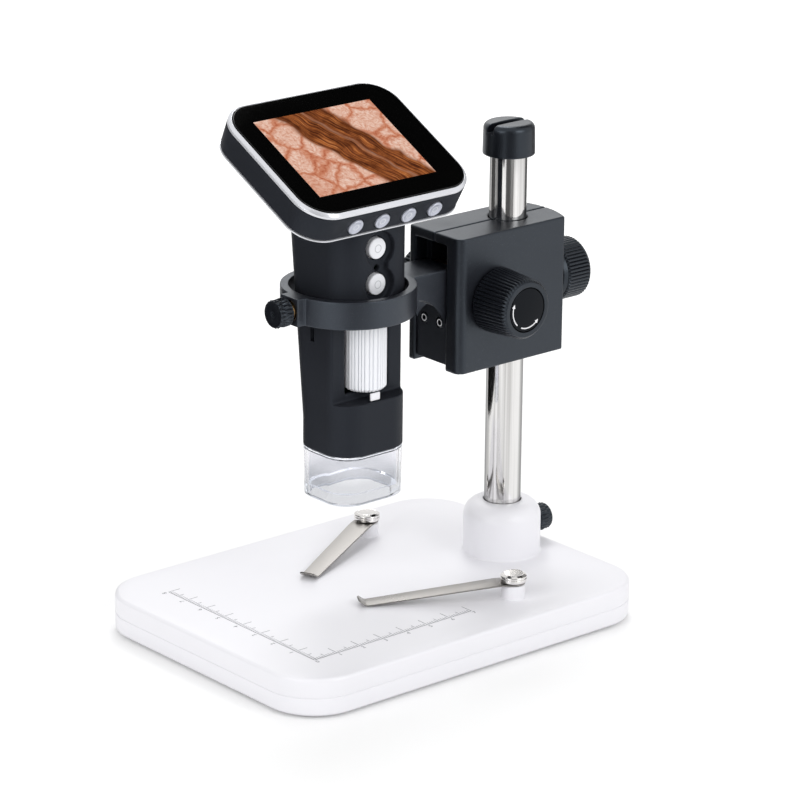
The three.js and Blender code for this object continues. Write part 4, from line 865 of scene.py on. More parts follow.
thumbscrew("boss_thumbscrew", "x", "boss_screw", "boss_screw_knurled")
thumbscrew("ring_thumbscrew", "-x", "ring_screw", "ring_screw_knurled")

# %% [markdown]
# ## Clips
#
# Each clip is one strip of spring steel. It lies flat under its screw, bends down toward the stage, narrows
# on the way and ends in a lip that is turned up, so a slide can be pushed under it. The strip is a rounded
# section carried along that bent line, always square to it.

# %% Spring clips
BLADE_THICKNESS = 0.5
BLADE_WIDTH = 8.4
BLADE_TIP_WIDTH = 6.4
BLADE_FLAT = 6.0
BLADE_LIP = 2.4
BLADE_RISE = 1.9
TIPS = {"rear": (-16.2, 17.2), "front": (-17.6, -12.4)}
STRIP_STATIONS = 90


def clip_strip(run, drop):
    """A strip along +X from its round end, bent down to the stage and up again at its lip."""
    end = BLADE_WIDTH / 2
    line = filleted([(-end, 0, 0), (BLADE_FLAT, 0, 14), (run - BLADE_LIP, -drop, 2.2),
                     (run, BLADE_RISE - drop, 0)], steps=12)
    steps = np.r_[0, np.cumsum(np.linalg.norm(np.diff(line, axis=0), axis=1))]
    along = steps[-1] * (1 - np.cos(np.linspace(0.02, math.pi - 0.02, STRIP_STATIONS))) / 2
    centre = np.column_stack([np.interp(along, steps, line[:, i]) for i in (0, 1)])
    tangent = np.gradient(centre, along, axis=0)
    tangent /= np.linalg.norm(tangent, axis=1)[:, None]
    half = np.interp(along, [0, steps[-1]], [BLADE_WIDTH, BLADE_TIP_WIDTH]) / 2
    half = np.where(along < end, np.sqrt(np.maximum(end**2 - (end - along) ** 2, 0.02)), half)
    left = steps[-1] - along
    half -= np.where(left < 1.5, 1.5 - np.sqrt(np.maximum(1.5**2 - (1.5 - left) ** 2, 0)), 0)
    rings = []
    for spot, (tx, tz), reach in zip(centre, tangent, np.maximum(half, 0.35)):
        section = rounded_box(-reach, reach, -BLADE_THICKNESS / 2, BLADE_THICKNESS / 2, 0.2, steps=3)
        across, up = section.T
        rings.append(np.column_stack([spot[0] - tz * up, -across, spot[1] + tx * up]))
    return skin(rings)


def clip_screw_profile(low, high):
    """Half section of the domed clip screw: stem, head with a groove round it, shallow dish on top."""
    head = high[2] - 2.8
    rim = (high - low)[0] / 2
    return filleted([
        (0.9, low[2], 0), (1.5, low[2] + 0.6, 0), (1.5, head, 0.1), (rim, head, 0.25),
        (rim, head + 1.15, 0.15), (rim - 0.25, head + 1.3, 0.05), (rim - 0.25, head + 1.45, 0.05),
        (rim, head + 1.6, 0.15), (rim, head + 2.1, 0.35), (rim - 1.1, high[2], 0.3),
        (rim - 1.5, high[2] - 0.12, 0.2), (0.5, high[2] - 0.2, 0)])


for side, (tip_x, tip_y) in TIPS.items():
    screw_low, screw_high = screw_boxes[side]
    post = POSTS[side]
    heading = math.atan2(tip_y - post[1], tip_x - post[0])
    run = math.hypot(tip_x - post[0], tip_y - post[1])
    level = POST_TOP + FIT + BLADE_THICKNESS / 2
    strip = clip_strip(run, level - BLADE_THICKNESS / 2 - DECK - FIT)
    turn = Matrix.Rotation(heading, 3, "Z")
    blade = solid(placed(strip, turn, (*post, level)))
    combine(blade, "DIFFERENCE", [placed(rod(1.8, level - 3, level + 3), at=(*post, 0))])
    mount(blade, f"clip_spring_{side}", f"{side}_clip", "spring_steel", [f"clip_blade_{side}"])
    screw = solid(placed(turned(clip_screw_profile(screw_low, screw_high), 96), at=(*post, 0)))
    mount(screw, f"clip_screw_domed_{side}", f"{side}_clip", "screw_steel", [f"clip_screw_{side}"])

# %% [markdown]
# ## Ruler
#
# The ruler is printed on the deck: two scales that meet in a corner, seven centimetres along the front and
# eight up the left side, with a tick each millimetre, longer ones at five and ten, and plain numbers. Print
# has almost no thickness, so each stroke is a flat strip that stands three hundredths of a millimetre proud.

# %% Printed ruler
RULER_CORNER = np.array([-61.0, -41.5])
RULER_SPANS = (70, 80)
INK_HEIGHT = 0.03
STROKE = 0.22
TICK_LENGTHS = {10: 5.0, 5: 2.8, 1: 1.5}
NUMBER_SIZE = 2.4
NUMBER_GAP = 1.7


def ink_strip(x0, x1, y0, y1):
    """One printed stroke on the deck, sunk a little so that it holds."""
    return box(x0, x1, y0, y1, DECK - 0.02, DECK + INK_HEIGHT)


def ruler_strokes(span_mm, upright):
    """The line and ticks of one scale, as strips; upright swaps the two directions."""
    strips = [(0, span_mm, -STROKE / 2, STROKE / 2)]
    for place in range(span_mm + 1):
        length = next(TICK_LENGTHS[step] for step in (10, 5, 1) if place % step == 0)
        strips.append((place - STROKE / 2, place + STROKE / 2, 0, length))
    cx, cy = RULER_CORNER
    if upright:
        return [ink_strip(cx + b0, cx + b1, cy + a0, cy + a1) for a0, a1, b0, b1 in strips]
    return [ink_strip(cx + a0, cx + a1, cy + b0, cy + b1) for a0, a1, b0, b1 in strips]


def number_mesh(text, at, turn):
    """A number as a thin solid on the deck, centred at a place and turned by an angle."""
    curve = bpy.data.curves.new("number", "FONT")
    curve.body = text
    curve.size = NUMBER_SIZE * MM
    curve.extrude = INK_HEIGHT / 2 * MM
    curve.align_x = "CENTER"
    curve.align_y = "CENTER"
    holder = bpy.data.objects.new("number", curve)
    SCENE.collection.objects.link(holder)
    settled = bpy.data.meshes.new_from_object(holder.evaluated_get(bpy.context.evaluated_depsgraph_get()))
    bpy.data.objects.remove(holder)
    move = Matrix.Translation(Vector((*at, DECK + INK_HEIGHT / 2)) * MM) @ Matrix.Rotation(turn, 4, "Z")
    settled.transform(move)
    made = bpy.data.objects.new("number", settled)
    SCENE.collection.objects.link(made)
    return made


strokes = solid(*ruler_strokes(RULER_SPANS[0], False), *ruler_strokes(RULER_SPANS[1], True))
numbers = [number_mesh(str(i), (RULER_CORNER[0] + i * 10, RULER_CORNER[1] - NUMBER_GAP), 0)
           for i in range(RULER_SPANS[0] // 10 + 1)]
numbers += [number_mesh(str(i), (RULER_CORNER[0] - NUMBER_GAP, RULER_CORNER[1] + i * 10), TURN / 4)
            for i in range(1, RULER_SPANS[1] // 10 + 1)]
with bpy.context.temp_override(active_object=strokes, selected_editable_objects=[strokes, *numbers]):
    bpy.ops.object.join()
mount(strokes, "printed_ruler", "base", "ruler_ink")

# %% [markdown]
# ## Focus block
#
# Two moulded halves meet on the middle plane of the pillar; the thin line between them runs over the top
# and down both ends. The left end has the channel in which the slide plate runs. Inside there is room for
# the rack and the pinion, and two screws hold the halves together from behind.

# %% Block halves
block_low, block_high = span("block_front_half", "block_rear_half")
PLATE_LOW, PLATE_HIGH = span("rack")
CHANNEL_MIDDLE = (PLATE_LOW[1] + PLATE_HIGH[1]) / 2
CHANNEL_HALF = 8.1
CHANNEL_DEPTH = 5.7
CHANNEL_CEILING = block_high[2] - 3.4
SEAM = 0.3
BULGE = 3.4
FRONT_CORNER = 3.5
REAR_CORNER = 1.2
drive_low, drive_high = span("knob_shaft")
DRIVE = (drive_low + drive_high) / 2
SHAFT_RADIUS = (drive_high[0] - drive_low[0]) / 2
PINION_ROOM = 6.2
PINION_ROOM_HALF = 3.4
CLAMP_BORE = 3.3
HEAD_BORE = 2.9
HEAD_SINK = 2.2
SCREW_BORE = 1.7
SCREW_REACH = 23


def block_outline():
    """The block from above: one sharp and one round corner on the left, a shallow arc on the right."""
    half = (block_high[1] - block_low[1]) / 2
    middle = (block_high[1] + block_low[1]) / 2
    corners = filleted([
        (block_high[0] - BULGE, block_low[1], 0), (block_high[0] - BULGE, block_high[1], 0),
        (block_low[0], block_high[1], REAR_CORNER), (block_low[0], block_low[1], FRONT_CORNER)],
        closed=True, steps=8)
    radius = (half**2 + BULGE**2) / (2 * BULGE)
    sweep = math.asin(half / radius) * np.linspace(-0.985, 0.985, 25)[:, None]
    arc = np.hstack([block_high[0] - radius + radius * np.cos(sweep), middle + radius * np.sin(sweep)])
    return np.vstack([arc, corners[2:]])


def block_half(name, node_name, y0, y1):
    """One half: the block's outline between two y, less the channel, the drive's room and the bores."""
    flat = block_outline()
    half = solid(skin([level_ring(flat, z) for z in (block_low[2], block_high[2])]))
    combine(half, "INTERSECT", [box(-200, 200, y0, y1, 0, 300)])
    below = block_low[2] - 5
    screws = [span(f"block_screw_{level}") for level in ("upper", "lower")]
    heads = [((low + high)[0] / 2, block_high[1], (low + high)[2] / 2) for low, high in screws]
    combine(half, "DIFFERENCE", [
        box(block_low[0] - 5, block_low[0] + CHANNEL_DEPTH, CHANNEL_MIDDLE - CHANNEL_HALF,
            CHANNEL_MIDDLE + CHANNEL_HALF, below, CHANNEL_CEILING),
        box(block_low[0] + 1, PLATE_HIGH[0] + 0.8, PLATE_LOW[1] - FIT, PLATE_HIGH[1] + FIT, below,
            CHANNEL_CEILING),
        placed(rod(PINION_ROOM, -PINION_ROOM_HALF, PINION_ROOM_HALF), "y",
               (DRIVE[0], CHANNEL_MIDDLE, DRIVE[2])),
        placed(rod(SHAFT_RADIUS + FIT, -40, 40), "y", (DRIVE[0], PILLAR[1], DRIVE[2])),
        on_pillar(rod(PILLAR_RADIUS + FIT, below, 200, 96)),
        placed(rod(CLAMP_BORE, 0, 40), "x", (PILLAR[0], PILLAR[1], DRIVE[2])),
        *(placed(rod(HEAD_BORE, -5, HEAD_SINK), "-y", spot) for spot in heads),
        *(placed(rod(SCREW_BORE, 0, SCREW_REACH), "-y", spot) for spot in heads),
    ])
    relaxed(half, keep=0.3)
    return mount(half, name, "block", "black_plastic", [node_name])


block_half("block_moulding_front", "block_front_half", block_low[1] - 5, PILLAR[1] - SEAM / 2)
block_half("block_moulding_rear", "block_rear_half", PILLAR[1] + SEAM / 2, block_high[1] + 5)


def socket_screw(name, node_name, body, profile, hexagon, axis, foot):
    """A turned, blackened screw with a six-sided socket cut in its head."""
    bolt = solid(placed(turned(profile, 64), axis, foot))
    combine(bolt, "DIFFERENCE", [placed(turned(hexagon, 6), axis, foot)])
    return mount(bolt, name, body, "screw_steel", [node_name], variant="oxide_black")


for level in ("upper", "lower"):
    low, high = span(f"block_screw_{level}")
    length = high[1] - low[1]
    reach = (high - low)[2] / 2
    foot = ((low + high)[0] / 2, low[1], (low + high)[2] / 2)
    shank = filleted([(0.4, 0, 0), (1.2, 0.6, 0), (1.2, length - 1.8, 0.1), (reach, length - 1.8, 0.1),
                      (reach, length, 0.4), (0.4, length, 0)])
    socket_screw(f"block_socket_screw_{level}", f"block_screw_{level}", "block", shank,
                 [(1.25, length - 1.4), (1.25, length + 1)], "y", foot)

# %% [markdown]
# ## Knobs
#
# All three big knobs are the same idea: a slightly tapered grip with narrow axial grooves that run out over
# the chamfer. The groove is a raised cosine taken to a power, which makes it narrow and the rib wide. The
# front knob has a sunk glossy disc with two curved arrows.

# %% Ribbed knobs
RIB_DEPTH = 0.5
RIB_SHARPNESS = 3
RIB_START = 0.3
RIB_END_GAP = 0.15
SIDES_PER_RIB = 9
FOCUS_RIBS = 50
KNOB_FACE_RADIUS = 10.6
KNOB_RIM_RADIUS = 9.6


def ribbed(profile, count, length):
    """A turned grip whose axial grooves are depth * ((1 + cos(count a)) / 2) ** sharpness deep."""
    def carve(angle, height):
        groove = ((1 + np.cos(count * angle)) / 2) ** RIB_SHARPNESS
        return RIB_DEPTH * groove * ((height > RIB_START) & (height < length - RIB_END_GAP))
    return turned(profile, count * SIDES_PER_RIB, carve=carve)


def even_rows(start, end, rows=14):
    """Corners of a straight stretch of profile from one (radius, height) to another, in even steps."""
    share = np.linspace(0, 1, rows)[:, None]
    return [(radius, height, 0) for radius, height in np.array(start) * (1 - share) + np.array(end) * share]


def grip_profile(inner, radius, face_radius, rim_radius, length, dish_radius=None, dish_depth=1.2):
    """Half section of a ribbed knob: bore wall, chamfered back edge, tapered grip, chamfered face, dish."""
    front = length - 1.1
    face = [(dish_radius, length, 0.15), (dish_radius, length - dish_depth, 0.1)] if dish_radius else []
    inner_end = (inner - 0.05, length - (dish_depth if dish_radius else 0.0), 0)
    return filleted([(inner, 0, 0), (radius - 0.6, 0, 0.2), *even_rows((radius, 0.6), (face_radius, front)),
                     (rim_radius, length, 0.3), *face, inner_end])


def focus_knob(side, axis, seat, length, dish_radius=None):
    """A ribbed knob on the drive's axis, bored for the shaft; its back stands at the seat, a value of y."""
    at = (DRIVE[0], seat, DRIVE[2])
    bore = SHAFT_RADIUS + 0.15
    profile = grip_profile(bore, KNOB_RADIUS, KNOB_FACE_RADIUS, KNOB_RIM_RADIUS, length, dish_radius)
    knob = solid(placed(ribbed(profile, FOCUS_RIBS, length), axis, at))
    combine(knob, "DIFFERENCE", [placed(rod(bore, -1, 10), axis, at)])
    return mount(knob, f"focus_knob_ribbed_{side}", "focus_knobs", "knob_black", [f"focus_knob_{side}"])


front_low, front_high = span("focus_knob_front")
KNOB_RADIUS = (front_high[0] - front_low[0]) / 2
FRONT_LENGTH = front_high[1] - front_low[1]
INLAY_RADIUS = 7.7
rear_low, rear_high = span("focus_knob_rear")
focus_knob("front", "-y", front_high[1], FRONT_LENGTH, INLAY_RADIUS + FIT)
focus_knob("rear", "y", rear_low[1], rear_high[1] - rear_low[1])

clamp_low, clamp_high = span("clamp_knob")
CLAMP_RADIUS = (clamp_high[2] - clamp_low[2]) / 2
CLAMP_LENGTH = 11.0
CLAMP_RIBS = 52
collar_start = block_high[0] + FIT
grip_start = clamp_high[0] - CLAMP_LENGTH
clamp_profile = grip_profile(2.0, CLAMP_RADIUS, CLAMP_RADIUS, CLAMP_RADIUS - 1.1, CLAMP_LENGTH)
clamp_grip = placed(ribbed(clamp_profile, CLAMP_RIBS, CLAMP_LENGTH), "x", (grip_start, PILLAR[1], DRIVE[2]))
clamp_collar = filleted([(2.4, clamp_low[0], 0), (3.0, clamp_low[0] + 0.6, 0), (3.0, collar_start, 0.2),
                         (9.6, collar_start, 0.5), (CLAMP_RADIUS - 0.7, grip_start + 0.1, 0.1),
                         (9.0, grip_start + 0.6, 0), (3, grip_start + 0.6, 0)])
clamp = solid(placed(turned(clamp_collar, 96), "x", (0, PILLAR[1], DRIVE[2])))
combine(clamp, "UNION", [clamp_grip])
mount(clamp, "clamp_knob_ribbed", "clamp", "knob_black", ["clamp_knob"])

# %% Inlay with two curved arrows
INLAY_SINK = 0.12
ARROW_RADIUS = 6.5
ARROW_STROKE = 0.42
ARROWS = ((227, -74), (246, 75))


def arc_arrow(start, sweep, radius, stroke, low, high):
    """A curved arrow as a thin solid: a strip along an arc that widens suddenly and closes to a point."""
    share = np.linspace(0, 1, 60)
    half = np.where(share < 0.84, stroke / 2, stroke * 1.8 * (1 - share) / 0.16) * np.sign(sweep)
    angle = start + sweep * share
    out = np.column_stack([(radius + half) * np.cos(angle), (radius + half) * np.sin(angle)])
    back = np.column_stack([(radius - half) * np.cos(angle), (radius - half) * np.sin(angle)])
    flat = np.vstack([out[:-1], back[::-1]])
    return skin([level_ring(flat, z) for z in (low, high)])


inlay_face = FRONT_LENGTH - INLAY_SINK
inlay = filleted([(0.5, FRONT_LENGTH - 0.9, 0), (INLAY_RADIUS, FRONT_LENGTH - 0.9, 0.1),
                  (INLAY_RADIUS, inlay_face, 0.25), (0.5, inlay_face, 0)])
inlay_at = ("-y", (DRIVE[0], front_high[1], DRIVE[2]))
disc = solid(placed(turned(inlay, 96), *inlay_at))
mount(disc, "knob_inlay_disc", "focus_knobs", "inlay", ["focus_knob_inlay"])
arrows = solid(*(placed(arc_arrow(math.radians(start), math.radians(sweep), ARROW_RADIUS, ARROW_STROKE,
                                  inlay_face, inlay_face + 0.04), *inlay_at) for start, sweep in ARROWS))
mount(arrows, "knob_arrows_print", "focus_knobs", "white_print")

# %% [markdown]
# ## Ring arm
#
# One die casting: a ring that grips the barrel, a boss for its thumbscrew, an arm with a curved underside
# hollowed by a round arch, and the plate that slides in the block. A casting has generous fillets
# wherever two forms meet, which is what the relaxed grid gives.

# %% Ring arm
arm_low, arm_high = span("ring_arm")
SCOPE = np.array([-13.9, PILLAR[1], 0.0])
RING = np.array([-14.9, PILLAR[1], 0.0])
RING_OUTER = (arm_high[1] - arm_low[1]) / 2
RING_INNER = RING_OUTER - 2.9
RING_TOP = arm_high[2]
RING_BOTTOM = RING_TOP - 9.8
RING_MIDDLE = (RING_TOP + RING_BOTTOM) / 2
PLATE_HALF = CHANNEL_HALF - FIT
PLATE_FACE = block_low[0] + 0.9
PLATE_TOP = 125.6
ARM_TOP = 125.8
ARM_TOE = 105.2
UNDERSIDE_BEND = 2.5
FACE_SKIM = 0.12
FACE_BREAK = math.radians(24)
HOLLOW_TOP = 113.5
INSERT_BORE = 3.7
INSERT_SEAT = 21.1
RING_SCREW_BORE = 2.4
RACK_HEAD_BORE = 2.1
RACK_HEAD_SINK = 1.9
RACK_BORE = 1.5
RACK_BORE_DEPTH = 9
RACK_SOCKET = 0.95
HOLLOW_LIFT = ((1.0, 0.0), (0.0, 0.0), (-1.0, 1.8), (-2.8, 4.0), (-5.3, 6.0))
CURVE_START = RING[0] + RING_OUTER
arm_start = RING[0] + RING_INNER + 1


def arm_slice(points, y):
    """A ring of the arm's side view, given in x and z, at one y off the channel's middle."""
    flat = np.array(points, float)
    return np.column_stack([flat[:, 0], np.full(len(flat), CHANNEL_MIDDLE + y), flat[:, 1]])


def underside_slice(y, lift):
    """Side view of the room under the arm: its roof falls as share ** bend to the toe, and lifts inward."""
    share = np.linspace(1, 0, 24)
    roof = RING_BOTTOM - (RING_BOTTOM - ARM_TOE) * share ** UNDERSIDE_BEND
    roof = np.maximum(roof, np.minimum(roof + lift, HOLLOW_TOP))
    reach = CURVE_START + (PLATE_FACE + FACE_SKIM - CURVE_START) * share
    foot = [[CURVE_START, arm_low[2] - 1], [PLATE_FACE + FACE_SKIM, arm_low[2] - 1]]
    return arm_slice(np.vstack([foot, np.column_stack([reach, roof])]), y)


side_view = [(arm_start, RING_BOTTOM), (CURVE_START, RING_BOTTOM), (PLATE_FACE, ARM_TOE - 5),
             (PLATE_FACE + 1, ARM_TOE - 5), (PLATE_FACE + 1, ARM_TOP), (arm_start, ARM_TOP)]
casting = solid(skin([arm_slice(side_view, PLATE_HALF), arm_slice(side_view, -PLATE_HALF)]))
combine(casting, "UNION", [
    box(PLATE_FACE, arm_high[0], CHANNEL_MIDDLE - PLATE_HALF, CHANNEL_MIDDLE + PLATE_HALF, arm_low[2],
        PLATE_TOP),
    placed(rod(RING_OUTER, RING_BOTTOM, RING_TOP, 192), at=RING)])
BOSS_HALF = 4.5
FLAT_HALF = 7.5
FLAT_REACH = RING[0] - 22.7
combine(casting, "DIFFERENCE", [
    box(RING[0] - 40, FLAT_REACH, PILLAR[1] + y0, PILLAR[1] + y1, RING_BOTTOM - 5, RING_TOP + 5)
    for y0, y1 in ((-FLAT_HALF, -BOSS_HALF), (BOSS_HALF, FLAT_HALF))])
combine(casting, "UNION", [
    box(arm_low[0], RING[0], PILLAR[1] - BOSS_HALF, PILLAR[1] + BOSS_HALF, RING_BOTTOM, RING_TOP)])
rack_screws = [span(f"rack_screw_{side}") for side in ("front", "rear")]
rack_spots = [(PLATE_FACE, *((low + high)[1:] / 2)) for low, high in rack_screws]
combine(casting, "DIFFERENCE", [
    placed(rod(RING_INNER, RING_BOTTOM - 5, RING_TOP + 5, 192), at=RING),
    placed(rod(INSERT_BORE, INSERT_SEAT, 30), "-x", (RING[0], PILLAR[1], RING_MIDDLE)),
    placed(rod(RING_SCREW_BORE, 10, 30), "-x", (RING[0], PILLAR[1], RING_MIDDLE))])
relaxed(casting, grain=0.34, passes=5, keep=0.3)
hollow_side = [(PLATE_HALF + out, lift) for out, lift in HOLLOW_LIFT]
hollow_stations = hollow_side + [(0, HOLLOW_LIFT[-1][1] + 1)] + [(-y, lift) for y, lift in hollow_side[::-1]]
combine(casting, "DIFFERENCE", [
    skin([underside_slice(y, lift) for y, lift in hollow_stations]),
    *(placed(rod(RACK_HEAD_BORE, -2, RACK_HEAD_SINK), "x", spot) for spot in rack_spots),
    *(placed(rod(RACK_BORE, -2, RACK_BORE_DEPTH), "x", spot) for spot in rack_spots)])
mount(casting, "ring_arm_casting", "carriage", "cast_black", ["ring_arm"])
casting.data.set_sharp_from_angle(angle=FACE_BREAK)

insert_low, insert_high = span("ring_insert")
INSERT_RADIUS = (insert_high[2] - insert_low[2]) / 2
insert = filleted([(2.4, 0, 0), (INSERT_RADIUS, 0, 0.2), (INSERT_RADIUS, insert_high[0] - insert_low[0], 0.3),
                   (2.4, insert_high[0] - insert_low[0], 0.3)], closed=True)
mount(solid(placed(turned(insert, 96, closed=True), "-x", (insert_high[0], PILLAR[1], RING_MIDDLE))),
      "ring_insert_turned", "carriage", "brass", ["ring_insert"])

for side, (low, high) in zip(("front", "rear"), rack_screws):
    foot = (low[0], *((low + high) / 2)[1:])
    reach = (high - low)[2] / 2
    head = filleted([(0.4, high[0] - low[0], 0), (1.2, high[0] - low[0], 0.2), (1.2, 1.6, 0.1),
                     (reach, 1.6, 0.1), (reach, 0, 0.35), (0.4, 0, 0)])[::-1]
    socket_screw(f"rack_socket_screw_{side}", f"rack_screw_{side}", "carriage", head,
                 [(RACK_SOCKET, -1), (RACK_SOCKET, 1.1)], "x", foot)
    # A pale diffuse ring on each screw head: a painted highlight where the head's rim catches the light.
    highlight_ring = placed(thin_ring(RACK_SOCKET, 1.3, -0.04, 0.02, 48), "x", foot)
    mount(solid(highlight_ring), f"rack_screw_worn_rim_{side}", "carriage", "white_print")

# %% [markdown]
# ## Barrel
#
# The microscope's body is a soft-touch moulding: a rounded square at the bottom that widens toward the
# screen, mostly at its back. In front it is cut back flat for the focus wheel, and higher up a shallow
# pocket shaped like a figure eight holds the two buttons with a pinhole between them.

# %% Barrel
barrel_low = span("barrel_shell")[0]
HEAD_AT = np.array([-15.3, -3.5, 175.1])
HEAD_TILT = math.radians(27.2)
HEAD_TURN = Matrix.Rotation(HEAD_TILT, 3, "X")
HEAD_MATRIX = Matrix.Translation(Vector(HEAD_AT) * MM) @ HEAD_TURN.to_4x4()
BARREL_TOP_W = -13.4
BARREL_HALF = 15.8
BARREL_HALF_TOP = 15.9
BARREL_FRONT = 15.4
BARREL_REAR = 12.2
BARREL_REAR_TOP = 20.0
BARREL_CORNER = 9.5
BARREL_WALL = 2.0
FLARE_LOW = 80.0
FLARE_HIGH = 157.0
RECESS_PLANE = 8.7
RECESS_LOW = 88.7
RECESS_HIGH = 121.0
WINDOW_HALF = 9.5
WINDOW_LOW = 91.2
WINDOW_HIGH = 116.6
WHEEL_AT = np.array([SCOPE[0], SCOPE[1] - 7.5, 0.0])
BUTTON_PLANE = 12.8
BUTTON_HEIGHTS = {"upper": 142.3, "lower": 129.7}
LOBE_RADIUS = 6.3
NECK_HALF = 3.6
BUTTON_RADIUS = 3.7
POCKET_BACK_HALF = 8.5
POCKET_BACK_REACH = 8.3
RESET_SHIFT = 0.6
RESET_DROP = 0.8
RESET_RADIUS = 1.1
BARREL_OVERRUN = 215
SIDE_SLOT = (0.2, 2.2)
SIDE_SLOT_DEPTH = 2.6
SIDE_SLOT_FOOT = 109


def barrel_box(x0, x1, y0, y1, z0, z1):
    """A box to cut with, whose x and y are measured from the barrel's axis."""
    return box(SCOPE[0] + x0, SCOPE[0] + x1, SCOPE[1] + y0, SCOPE[1] + y1, z0, z1)


def barrel_section(inset, height):
    """Outline at a height, each side moved in by inset; above FLARE_LOW the sides and the back move out."""
    flare = max((height - FLARE_LOW) / (FLARE_HIGH - FLARE_LOW), 0)
    half = BARREL_HALF + flare * (BARREL_HALF_TOP - BARREL_HALF) - inset
    rear = BARREL_REAR + flare * (BARREL_REAR_TOP - BARREL_REAR) - inset
    return rounded_box(-half, half, inset - BARREL_FRONT, rear, BARREL_CORNER - inset, 0, 14)


def barrel_skin(inset, low):
    """The barrel's outside, or its inside with an inset, from a height up past the head's plane."""
    heights = (low, FLARE_LOW, FLARE_HIGH, BARREL_OVERRUN)
    return skin([level_ring(barrel_section(inset, height), height) + SCOPE for height in heights])


def button_rods(radius, start, end):
    """A rod along y at each barrel button, measured from the barrel's axis."""
    return [placed(rod(radius, start, end), "y", (SCOPE[0], SCOPE[1], height))
            for height in BUTTON_HEIGHTS.values()]


pocket_middle = sum(BUTTON_HEIGHTS.values()) / 2
pocket_half = (BUTTON_HEIGHTS["upper"] - BUTTON_HEIGHTS["lower"]) / 2
hollow = solid(barrel_skin(BARREL_WALL, barrel_low[2] - 5))
combine(hollow, "DIFFERENCE", [
    barrel_box(-40, 40, -40, BARREL_WALL - RECESS_PLANE, RECESS_LOW - BARREL_WALL, RECESS_HIGH + BARREL_WALL),
    barrel_box(-POCKET_BACK_HALF, POCKET_BACK_HALF, -40, BARREL_WALL - BUTTON_PLANE,
               pocket_middle - pocket_half - POCKET_BACK_REACH,
               pocket_middle + pocket_half + POCKET_BACK_REACH)])
barrel = solid(barrel_skin(0, barrel_low[2]))
combine(barrel, "DIFFERENCE", [hollow])
over_head = placed(box(-150, 150, -150, 150, BARREL_TOP_W, 150), HEAD_TURN, HEAD_AT)
combine(barrel, "DIFFERENCE", [
    over_head,
    barrel_box(-40, 40, -40, -RECESS_PLANE, RECESS_LOW, RECESS_HIGH),
    barrel_box(-WINDOW_HALF, WINDOW_HALF, -40, 1.2, WINDOW_LOW, WINDOW_HIGH),
    barrel_box(-NECK_HALF, NECK_HALF, -40, -BUTTON_PLANE, BUTTON_HEIGHTS["lower"], BUTTON_HEIGHTS["upper"]),
    *button_rods(LOBE_RADIUS, -40, -BUTTON_PLANE),
    *button_rods(BUTTON_RADIUS + 0.35, -40, 0),
    placed(rod(RESET_RADIUS, -40, 0), "y", (SCOPE[0] + RESET_SHIFT, SCOPE[1], pocket_middle - RESET_DROP))])
relaxed(barrel, grain=0.36, passes=5, keep=0.3)
combine(barrel, "DIFFERENCE", [
    barrel_box(-40, SIDE_SLOT_DEPTH - BARREL_HALF, *SIDE_SLOT, SIDE_SLOT_FOOT, RECESS_HIGH)])
mount(barrel, "barrel_soft_moulding", "microscope", "soft_black", ["barrel_shell"])

# %% [markdown]
# ## Wheel, buttons and index tab
#
# The focus wheel is a white roller with fine vertical ribs that ends in a small chamfer, so its lower edge
# looks scalloped. The buttons are low domes. A little white tab stands below the wheel.

# %% Wheel and buttons
wheel_low, wheel_high = span("focus_wheel")
WHEEL_RADIUS = 7.6
WHEEL_RIBS = 34
WHEEL_CHAMFER = 1.0
WHEEL_BORE = 1.3


def wheel_carve(angle, height):
    """Ribs of the wheel: broad ribs with sharp valleys, |sin| of half the count times an uneven angle."""
    uneven = angle + 0.035 * np.sin(5 * angle) + 0.02 * np.sin(13 * angle)
    return 0.75 * (1 - np.abs(np.sin(WHEEL_RIBS * uneven / 2))) ** 2.4


wheel_profile = filleted([
    (WHEEL_BORE, wheel_low[2], 0), (WHEEL_RADIUS - WHEEL_CHAMFER, wheel_low[2], 0.2),
    (WHEEL_RADIUS, wheel_low[2] + WHEEL_CHAMFER, 0.5), (WHEEL_RADIUS, wheel_high[2] - WHEEL_CHAMFER, 0.5),
    (WHEEL_RADIUS - WHEEL_CHAMFER, wheel_high[2], 0.2), (WHEEL_BORE, wheel_high[2], 0)], closed=True)
wheel = solid(placed(turned(wheel_profile, 476, closed=True, carve=wheel_carve), at=WHEEL_AT))
mount(wheel, "focus_wheel_ribbed", "wheel", "white_plastic", ["focus_wheel"], variant="wheel_white")

for label, height in BUTTON_HEIGHTS.items():
    low, high = span(f"barrel_button_{label}")
    depth = high[1] - low[1]
    dome = filleted([(0.5, 0, 0), (BUTTON_RADIUS + 0.9, 0, 0.1), (BUTTON_RADIUS + 0.9, 0.8, 0.1),
                     (BUTTON_RADIUS, 0.8, 0.05), (BUTTON_RADIUS, depth - 0.25, 0.5),
                     (2.0, depth - 0.05, 1.0), (0.3, depth, 0)])
    button = solid(placed(turned(dome, 96), "-y", (SCOPE[0], high[1], height)))
    mount(button, f"barrel_button_dome_{label}", f"{label}_button", "white_plastic",
          [f"barrel_button_{label}"], variant="wheel_white")
    mark = placed(thin_ring(1.15, 1.45, 0, 0.05, 64), "-y", (SCOPE[0], low[1] + 0.05, height))
    mount(solid(mark), f"button_mark_{label}", f"{label}_button", "grey_print")

tab_low, tab_high = span("index_tab")
tab = solid(box(tab_low[0], tab_high[0], tab_low[1], tab_high[1], tab_low[2], tab_high[2]))
bevelled(tab, 0.2, 3)
mount(tab, "index_tab_moulded", "microscope", "white_plastic", ["index_tab"])

